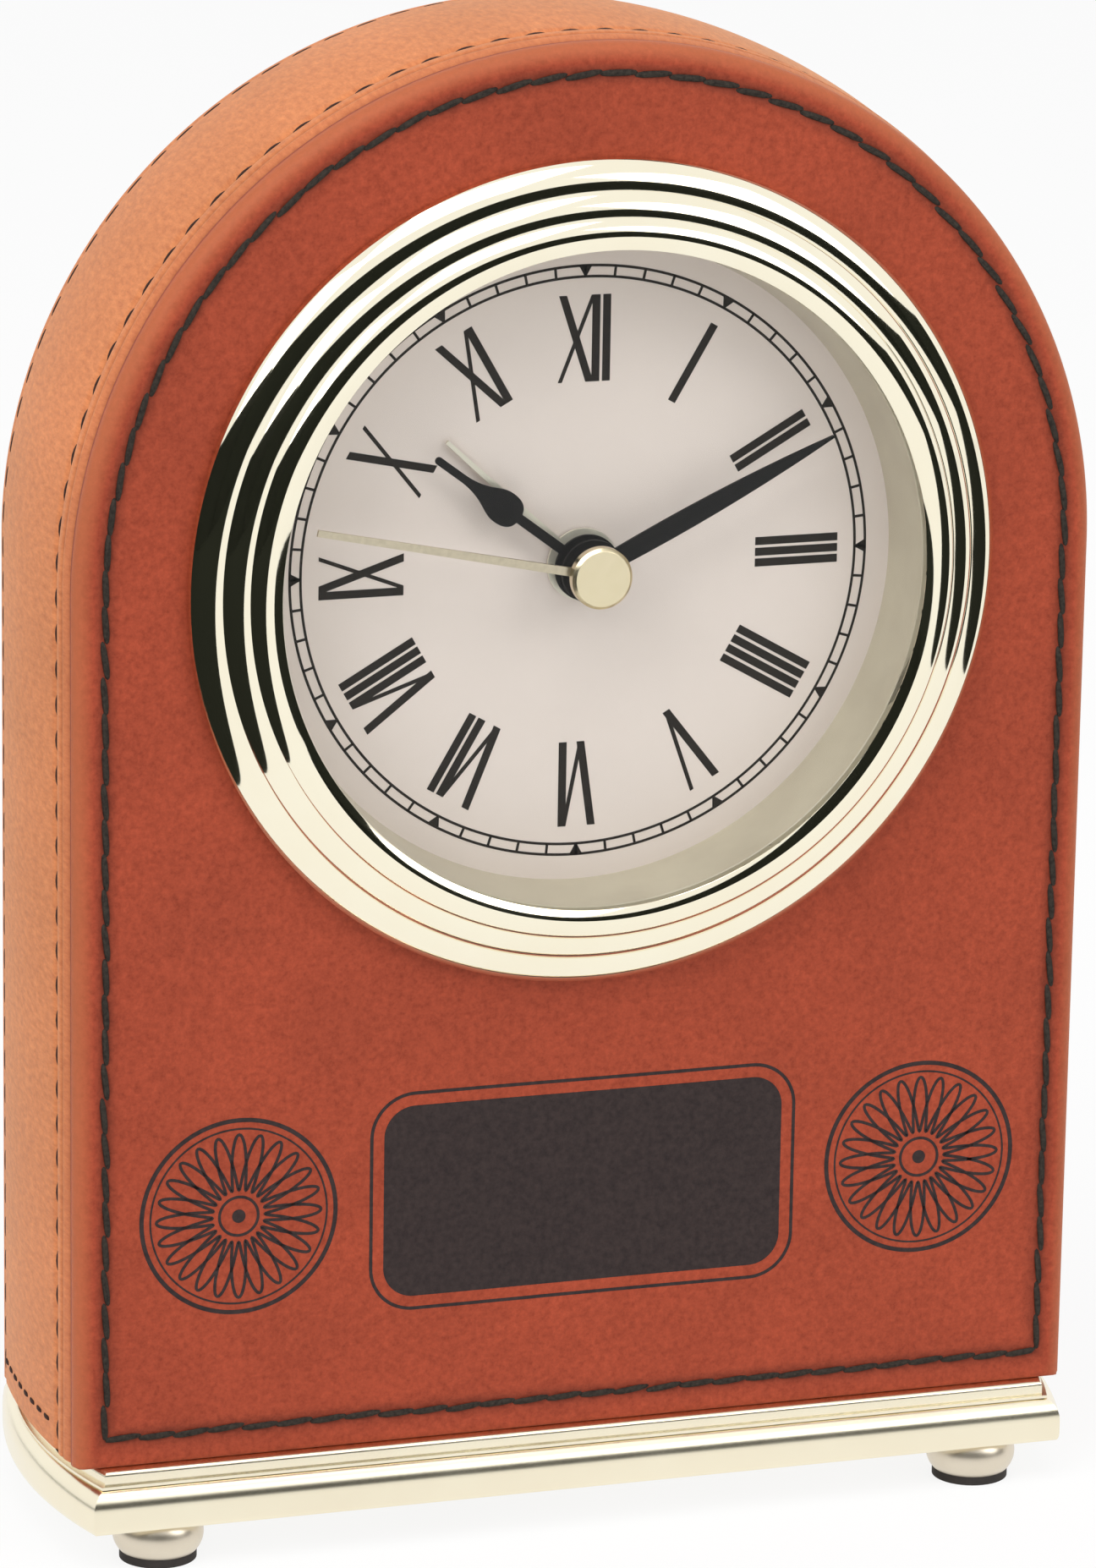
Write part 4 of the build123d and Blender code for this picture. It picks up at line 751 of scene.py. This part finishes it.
# Band stitching: a finer brown thread in short stitches along the hem, along the rear edge and across the
# foot of each leg.
fine_thread = finish("fine_brown_thread", (0.050, 0.021, 0.015), (0.024, 0.010, 0.007), 0.3, (0.65, 0.85),
                     relief=0.04, specular=0.2)
DASH, DASH_START = 2.3, 0.3
FOOT_STITCHES = 8
FOOT_PITCH, FOOT_DASH = 2.4, 1.6
FOOT_SEAM_IN, FOOT_SEAM_UP = 2.0, 2.6
FINE_WIDE, FINE_HIGH = 0.26, 0.13
HEM_BOW, REAR_BOW, FOOT_BOW = 0.16, 0.02, 0.08
FINE_SUNK = 0.03
share, wide, high = stitch_body(FINE_WIDE, FINE_HIGH)
row_count = round(arch_length / STITCH)
row_run = (np.arange(row_count)[:, None, None] + DASH_START) * arch_length / row_count + DASH * share
sewn_rows = []
for depth, bow in ((HEM_SEAM, HEM_BOW), (REAR_SEAM, REAR_BOW)):
    lift = band_surface(depth) + bow * np.sin(np.pi * share) - FINE_SUNK + high
    sewn_x, sewn_y = over_arch(row_run, lift)
    sewn_rows.append(clock(sewn_x, sewn_y, -depth - wide))
piece("band_stitches", np.concatenate(sewn_rows), fine_thread, columns_meet=True)
foot_starts = BAND_FRONT + HEM_W + FOOT_SEAM_IN + np.arange(FOOT_STITCHES)[:, None, None] * FOOT_PITCH
foot_depth = foot_starts + FOOT_DASH * share
foot_seams = []
for side in (-1, 1):
    lift = band_surface(foot_depth) + FOOT_BOW * np.sin(np.pi * share) - FINE_SUNK + high
    foot_seams.append(clock(side * lift, -LEG + FOOT_SEAM_UP + wide, -foot_depth))
piece("foot_stitches", np.concatenate(foot_seams), fine_thread, columns_meet=True)

# Back: a board covered in the same leatherette closes the case and is held by four round-headed screws. Its
# window shows the movement, with the knobs, the alarm switch and the battery.
dress(leather("back_leatherette", RUST_PALE, RUST_DEEP), "back_board")
HEAD_R, HEAD_T = 2.0, 1.0
SHANK_R, SHANK_L = 1.1, 6.0
HEAD_DOME, CROSS_DEPTH = 0.3 * HEAD_T, 0.55 * HEAD_T
CROSS_HALF, CROSS_WALL = 0.36, 0.12
CROSS_REACH, CROSS_END = 1.3, 0.2
HEAD_ROWS, BRIM_ROWS, HEAD_SIDES = 15, 5, 64
HEAD_SHARE, BRIM_SHARE = 0.82, 0.86


def screw_places(node):
    """Middle of each screw of a set, one in each quarter round the set's own middle, and the heads' rear
    face."""
    points = np.empty(len(nodes[node].data.vertices) * 3, np.float32)
    nodes[node].data.vertices.foreach_get("co", points)
    points = points.reshape(-1, 3) / MM
    centre = (points.min(axis=0) + points.max(axis=0)) / 2
    quarters = [(points[:, 0] > centre[0]) * 2 + (points[:, 2] > centre[2]) == number for number in range(4)]
    middles = [(points[q].min(axis=0) + points[q].max(axis=0)) / 2 for q in quarters if q.any()]
    return np.array(middles), points[:, 1].max()


def cross_head(node):
    """Domed screw heads with a cross recess: the dome falls with the fourth power of the radius, and a step
    with sloping walls sinks the two bars of the cross."""
    middles, rear = screw_places(node)
    out = np.concatenate([np.linspace(0, HEAD_SHARE, HEAD_ROWS), np.linspace(BRIM_SHARE, 1, BRIM_ROWS)])
    radius = out[:, None] * HEAD_R
    angle = np.linspace(0, 2 * np.pi, HEAD_SIDES, endpoint=False)
    x, z = radius * np.cos(angle), radius * np.sin(angle)
    bar = np.minimum(np.abs(x), np.abs(z))
    tip = np.maximum(np.abs(x), np.abs(z))
    sunk = np.clip((CROSS_HALF - bar) / CROSS_WALL, 0, 1) * np.clip((CROSS_REACH - tip) / CROSS_END, 0, 1)
    depth = HEAD_DOME * (radius / HEAD_R) ** 4 + CROSS_DEPTH * sunk
    tail = HEAD_T + SHANK_L
    under = np.array([[HEAD_R, HEAD_T], [SHANK_R, HEAD_T], [SHANK_R, tail], [0, tail]])
    x = np.concatenate([x, under[:, :1] * np.cos(angle)])
    z = np.concatenate([z, under[:, :1] * np.sin(angle)])
    depth = np.concatenate([depth, under[:, 1:] + 0 * angle])
    head = np.stack([x, rear - depth, z], axis=-1)
    return head + (middles * [1, 0, 1])[:, None, None, :]


piece("back_screw_heads", cross_head("back_screws"), steel, ["back_screws"], columns_meet=True,
      edge=40)

# Bezel: brass spun and turned to three rounded rings that climb to the rim, with a bevel inside it, mirror
# polished and plated pale gold. Its sleeve passes through the front wall and is clamped from behind by the
# holder.
gold = finish("mirror_gold_plate", (0.95, 0.895, 0.72), (0.93, 0.865, 0.68), 9, (0.035, 0.06), metal=1)
BEZEL_R = sleeve_high[0]
RISE = FRONT_Y - sleeve_low[1]
RIM_R = BEZEL_R - 8.3
SLEEVE_R = BEZEL_R - 3.3
SLEEVE_IN = SLEEVE_R - 4.0
SEAT = sleeve_high[1] - FRONT_Y
FLANGE_W, FLANGE_H = 2.8, 1.2
STEP_W = 2.4
ROUND_OUT = 0.14
RIM_LAND, RIM_BEVEL_W, RIM_BEVEL_H = 0.3, 1.0, 0.35
LIP_T = 0.5
EASE, FINE_EASE, FLANGE_EASE = 0.05, 0.04, 0.1
RIM_EDGE = RIM_R + RIM_BEVEL_W + RIM_LAND
CLIMB = np.arctan2(RISE - FLANGE_H, BEZEL_R - RIM_EDGE)


def on_slope(radius, lift):
    """A point on the bezel's straight rise from the flange to the rim, lifted square to it."""
    height = FLANGE_H + np.tan(CLIMB) * (BEZEL_R - radius)
    return radius + lift * np.sin(CLIMB), height + lift * np.cos(CLIMB)


def rounded_ring(outer, inner):
    """One ring of the bezel: an arc between two radii that rounds out by a share of its width."""
    middle = on_slope((outer + inner) / 2, ROUND_OUT * (outer - inner))
    return bend(on_slope(outer, 0), middle, on_slope(inner, 0), count=21)


ring_edges = [BEZEL_R, BEZEL_R - FLANGE_W, BEZEL_R - FLANGE_W - STEP_W, RIM_EDGE]
bevel_top, bevel_foot = RIM_R + RIM_BEVEL_W, RISE - RIM_BEVEL_H
bezel_profile = np.concatenate([rounded_ring(*edges) for edges in zip(ring_edges, ring_edges[1:])] + [
    [(RIM_EDGE - FINE_EASE, RISE), (bevel_top + EASE, RISE), (bevel_top - EASE, RISE - FINE_EASE / 2)],
    [(RIM_R + EASE, bevel_foot), (RIM_R, bevel_foot - FINE_EASE)],
    [(RIM_R, RISE - LIP_T), (SLEEVE_IN, RISE - LIP_T), (SLEEVE_IN, -SEAT), (SLEEVE_R, -SEAT), (SLEEVE_R, 0)],
    [(BEZEL_R - FLANGE_EASE, 0), (BEZEL_R, FLANGE_EASE)],
])


def about_axis(profile, steps=240):
    """A profile of radius and height ahead of the leather, turned about the hands' axis."""
    angle = np.linspace(0, 2 * np.pi, steps, endpoint=False)
    radius, height = np.asarray(profile).T[:, :, None]
    return clock(radius * np.sin(angle), radius * np.cos(angle), height + 0 * angle)


piece("bezel_spun", about_axis(bezel_profile)[None], gold, ["bezel"], rows_meet=True,
      columns_meet=True)

# Glass: a flat disc of clear glass. It is set into the sleeve from behind and held against the rim by the
# dial ring. It mirrors a little when seen square on, and much more towards grazing.
SQUARE_ON, GRAZING_POWER = 0.008, 5
glass = bpy.data.materials.new("clear_glass")
glass.use_nodes = True
glass_tree = glass.node_tree
glass_tree.nodes.remove(glass_tree.nodes["Principled BSDF"])
clear = glass_tree.nodes.new("ShaderNodeBsdfTransparent")
clear.inputs["Color"].default_value = (0.995, 1.0, 0.995, 1)
shine = glass_tree.nodes.new("ShaderNodeBsdfGlossy")
shine.inputs["Roughness"].default_value = 0.02
edge_on = glass_tree.nodes.new("ShaderNodeLayerWeight")
edge_on.inputs["Blend"].default_value = 0.5
steep = glass_tree.nodes.new("ShaderNodeMath")
steep.operation = "POWER"
steep.inputs[1].default_value = GRAZING_POWER
mirror_share = ranged(glass_tree, 0, 1, SQUARE_ON, 1)
both = glass_tree.nodes.new("ShaderNodeMixShader")
glass_tree.links.new(edge_on.outputs["Facing"], steep.inputs[0])
glass_tree.links.new(steep.outputs[0], mirror_share.inputs["Value"])
glass_tree.links.new(mirror_share.outputs["Result"], both.inputs["Fac"])
glass_tree.links.new(clear.outputs["BSDF"], both.inputs[1])
glass_tree.links.new(shine.outputs["BSDF"], both.inputs[2])
glass_tree.links.new(both.outputs["Shader"], glass_tree.nodes["Material Output"].inputs["Surface"])
dress(glass, "lens")

# Dial ring: a ring moulded in cream plastic, with a satin face that slopes from the glass down to the dial.
# It lies between the two and keeps them apart.
ring_low, ring_high = box_mm("dial_ring")
RING_R = ring_high[0]
ring_front, ring_rear = FRONT_Y - ring_low[1], FRONT_Y - ring_high[1]
SIGHT_R = RIM_R - 0.7
RING_EASE = 0.1
ring_profile = [(RING_R, ring_rear), (RING_R, ring_front), (RIM_R + RING_EASE, ring_front)]
ring_profile += [(RIM_R, ring_front - RING_EASE), (SIGHT_R, ring_rear)]
cream = finish("satin_cream_ring", (0.575, 0.52, 0.40), (0.50, 0.445, 0.34), 6, (0.28, 0.38))
piece("dial_ring_moulded", about_axis(ring_profile, steps=180)[None], cream, ["dial_ring"],
      rows_meet=True, columns_meet=True)

# Dial: thin aluminium painted a warm white, with the minute track and radial Roman numerals screen printed
# on it in dark brown ink. A thick and a thin stroke make each V and X, and there are no serifs.
dial_white = finish("warm_white_dial", (0.78, 0.687, 0.638), (0.75, 0.658, 0.609), 14, (0.5, 0.6))
dress(dial_white, "dial_plate")
ink = finish("dark_dial_ink", (0.024, 0.019, 0.015), (0.015, 0.012, 0.010), 1.2, (0.5, 0.62), specular=0.15)
DIAL_FACE = FRONT_Y - box_mm("dial_plate")[0][1]
INK_T, INK_STEP = 0.02, 0.3
BAR, HAIR, GAP = 0.82, 0.42, 0.28
NUMERAL_IN, NUMERAL_OUT = 18.3, 27.0
TRACK_IN, TRACK_OUT, TRACK_LINE = 28.85, 29.95, 0.27
WEDGE_IN, WEDGE_OUT = 0.08, 0.68
V_FOOT, V_WIDE = 1.66, 3.30
X_WIDE = 3.47
TUCK = 0.25
# Each stroke is where its middle stands at the inner end and at the outer end, and its width. The number
# before the strokes is where the next letter starts. An I before an X is tucked under it, so that they
# touch.
LETTERS = {
    "I": (BAR + GAP, [(BAR / 2, BAR / 2, BAR)]),
    "V": (V_WIDE - HAIR / 2, [(V_FOOT, BAR / 2, BAR), (V_FOOT, V_WIDE, HAIR)]),
    "X": (X_WIDE, [(X_WIDE - HAIR / 2, BAR / 2, BAR), (HAIR / 2, X_WIDE + HAIR / 4, HAIR)]),
}
HOURS = ["XII", "I", "II", "III", "IIII", "V", "VI", "VII", "VIII", "IX", "X", "XI"]


def printed(across, radius, turn):
    """Corners of printed shapes, each a four-cornered patch of ink with a little thickness. across is how
    far right of the upright line, radius how far out, and turn the clockwise angle of that line. Of every
    three patches each is a little thicker than the one before, so that strokes that cross never share a
    face."""
    across, radius, turn = np.broadcast_arrays(across, radius, turn)
    x = across * np.cos(turn) + radius * np.sin(turn)
    y = radius * np.cos(turn) - across * np.sin(turn)
    thick = INK_T * (1 + INK_STEP * (np.arange(len(x)) % 3))
    face = clock(x, y, DIAL_FACE + thick[:, None])
    foot = clock(x, y, DIAL_FACE - INK_T)
    middle = [shape.mean(axis=1, keepdims=True) + 0 * shape for shape in (face, foot)]
    return np.stack([middle[0], face, foot, middle[1]], axis=1)


patches = []
for hour, word in enumerate(HOURS):
    strokes, start = [], 0.0
    for letter, following in zip(word, word[1:] + " "):
        step, parts = LETTERS[letter]
        strokes += [(start + inner, start + outer, width) for inner, outer, width in parts]
        start += BAR - TUCK if letter + following == "IX" else step
    inner, outer, width = np.array(strokes).T
    middle = (np.maximum(inner, outer) + width / 2).max() / 2
    across = [inner - width / 2, inner + width / 2, outer + width / 2, outer - width / 2]
    radius = np.array([NUMERAL_IN, NUMERAL_IN, NUMERAL_OUT, NUMERAL_OUT])
    patches.append(printed(np.stack(across, axis=1) - middle, radius, hour * np.pi / 6))
minutes = np.arange(60)[:, None] * np.pi / 30
half_line = TRACK_LINE / 2
track_ends = np.array([TRACK_IN, TRACK_IN, TRACK_OUT, TRACK_OUT])
patches.append(printed(np.array([-1, 1, 1, -1]) * half_line, track_ends, minutes))
fives = np.arange(12)[:, None] * np.pi / 6
patches.append(printed(np.array([-WEDGE_IN, WEDGE_IN, WEDGE_OUT, -WEDGE_OUT]), track_ends, fives))
piece("dial_print", np.concatenate(patches), ink, columns_meet=True)
track_profiles = [
    [(ring + half_line, DIAL_FACE - INK_T), (ring + half_line, DIAL_FACE + INK_T),
     (ring - half_line, DIAL_FACE + INK_T), (ring - half_line, DIAL_FACE - INK_T)]
    for ring in (TRACK_IN, TRACK_OUT)
]
track = np.stack([about_axis(profile) for profile in track_profiles])
piece("minute_track", track, ink, rows_meet=True, columns_meet=True)

# Holder: a disc moulded in black plastic that stands behind the dial. It clamps the bezel, carries the
# movement and is held by four steel screws.
dress(black_plastic, "holder_plate")
dress(steel, "holder_screws")

# Movement: a tray with two ears and a lid, both moulded in black plastic and screwed together. Inside are
# the stepping motor, the board with its quartz and chip, and the sounder.
dress(black_plastic, "movement_tray", "movement_lid")
dress(steel, "ear_screws", "quartz_can")
piece("lid_screw_heads", cross_head("lid_screws"), steel, ["lid_screws"], columns_meet=True,
      edge=40)
sheet_steel = finish("silicon_steel_sheet", (0.40, 0.40, 0.41), (0.30, 0.30, 0.31), 1.5, (0.3, 0.45),
                     metal=1)
dress(sheet_steel, "stator")
magnet = finish("sintered_magnet", (0.20, 0.20, 0.21), (0.13, 0.13, 0.14), 0.5, (0.45, 0.6), metal=0.8)
dress(magnet, "rotor")
wire = finish("enamelled_wire", (0.70, 0.30, 0.12), (0.42, 0.15, 0.05), 0.14, (0.25, 0.4), metal=1,
              relief=0.05, stretch=(1, 0.05, 0.05))
dress(wire, "coil")
board_green = finish("green_circuit_board", (0.05, 0.25, 0.10), (0.03, 0.18, 0.07), 1.2, (0.3, 0.45))
dress(board_green, "circuit_board")
resin = finish("black_resin", (0.030, 0.030, 0.030), (0.015, 0.015, 0.015), 1.5, (0.2, 0.4), relief=0.03)
dress(resin, "chip_seal", "sounder")

# Wheels: the going train and the alarm work, moulded in pale acetal. Their pivots run in the floor of the
# tray and in the lid, or one in another about the hands' axis.
WHEELS = ["second_wheel", "reduction_wheel", "third_wheel", "minute_wheel", "transfer_wheel", "hour_wheel"]
WHEELS += ["alarm_wheel", "alarm_set_wheel"]
acetal = finish("moulded_acetal", (0.80, 0.78, 0.70), (0.73, 0.71, 0.63), 1.5, (0.35, 0.5))
dress(acetal, *WHEELS)

# Hands: stamped from thin aluminium. The hour and minute hands are painted matt black, the alarm and second
# hands are left silver and champagne, and a turned gold cap is pressed on over the second hand.
black_paint = finish("matt_black_paint", (0.014, 0.013, 0.013), (0.008, 0.008, 0.008), 0.8, (0.42, 0.55),
                     specular=0.12)
dress(black_paint, "hour_hand", "minute_hand")
champagne = finish("satin_champagne", (0.72, 0.63, 0.48), (0.60, 0.52, 0.39), 0.6, (0.25, 0.38), metal=1)
dress(champagne, "second_hand")
silver = finish("frosted_silver", (0.82, 0.78, 0.66), (0.74, 0.70, 0.59), 0.6, (0.30, 0.40), metal=0.5)
dress(silver, "alarm_hand")
cap_low, cap_high = box_mm("hand_cap")
CAP_R = cap_high[0]
cap_front, cap_rear = FRONT_Y - cap_low[1], FRONT_Y - cap_high[1]
CAP_BEVEL, CAP_EASE = 0.325, 0.05
CAP_BREAK_IN, CAP_BREAK_DOWN = 0.9 * CAP_BEVEL, 0.02
cap_profile = [(0, cap_rear), (CAP_R - CAP_EASE, cap_rear), (CAP_R, cap_rear + CAP_EASE)]
cap_profile += [(CAP_R, cap_front - CAP_BEVEL), (CAP_R - CAP_BREAK_IN, cap_front - CAP_BREAK_DOWN)]
cap_profile += [(CAP_R - CAP_BEVEL, cap_front), (0, cap_front)]
cap_gold = finish("satin_gold_cap", (0.87, 0.755, 0.53), (0.81, 0.70, 0.48), 1.2, (0.2, 0.3), metal=1)
piece("cap_turned", about_axis(cap_profile, steps=96)[None], cap_gold, ["hand_cap"],
      columns_meet=True, edge=25, body="second")

# Knobs and switch: two fluted knobs moulded in black plastic and pressed on their arbors, and a pale
# moulded slide that runs in a slot of the lid and turns the alarm on and off.
dress(black_plastic, "time_knob", "alarm_knob")
slide = finish("pale_slide", (0.75, 0.72, 0.64), (0.68, 0.65, 0.57), 1.0, (0.4, 0.5))
dress(slide, "alarm_switch")

# Battery: one plain AA cell in a printed jacket. It is pushed into its bay between a brass strip and a
# sprung strip.
brass = finish("plated_brass_strip", (0.75, 0.70, 0.55), (0.62, 0.57, 0.42), 1.0, (0.25, 0.4), metal=1)
dress(brass, "plus_contact", "minus_contact")
jacket = finish("cell_jacket", (0.14, 0.22, 0.34), (0.10, 0.17, 0.27), 3.0, (0.25, 0.35), metal=0.4)
dress(jacket, "battery")
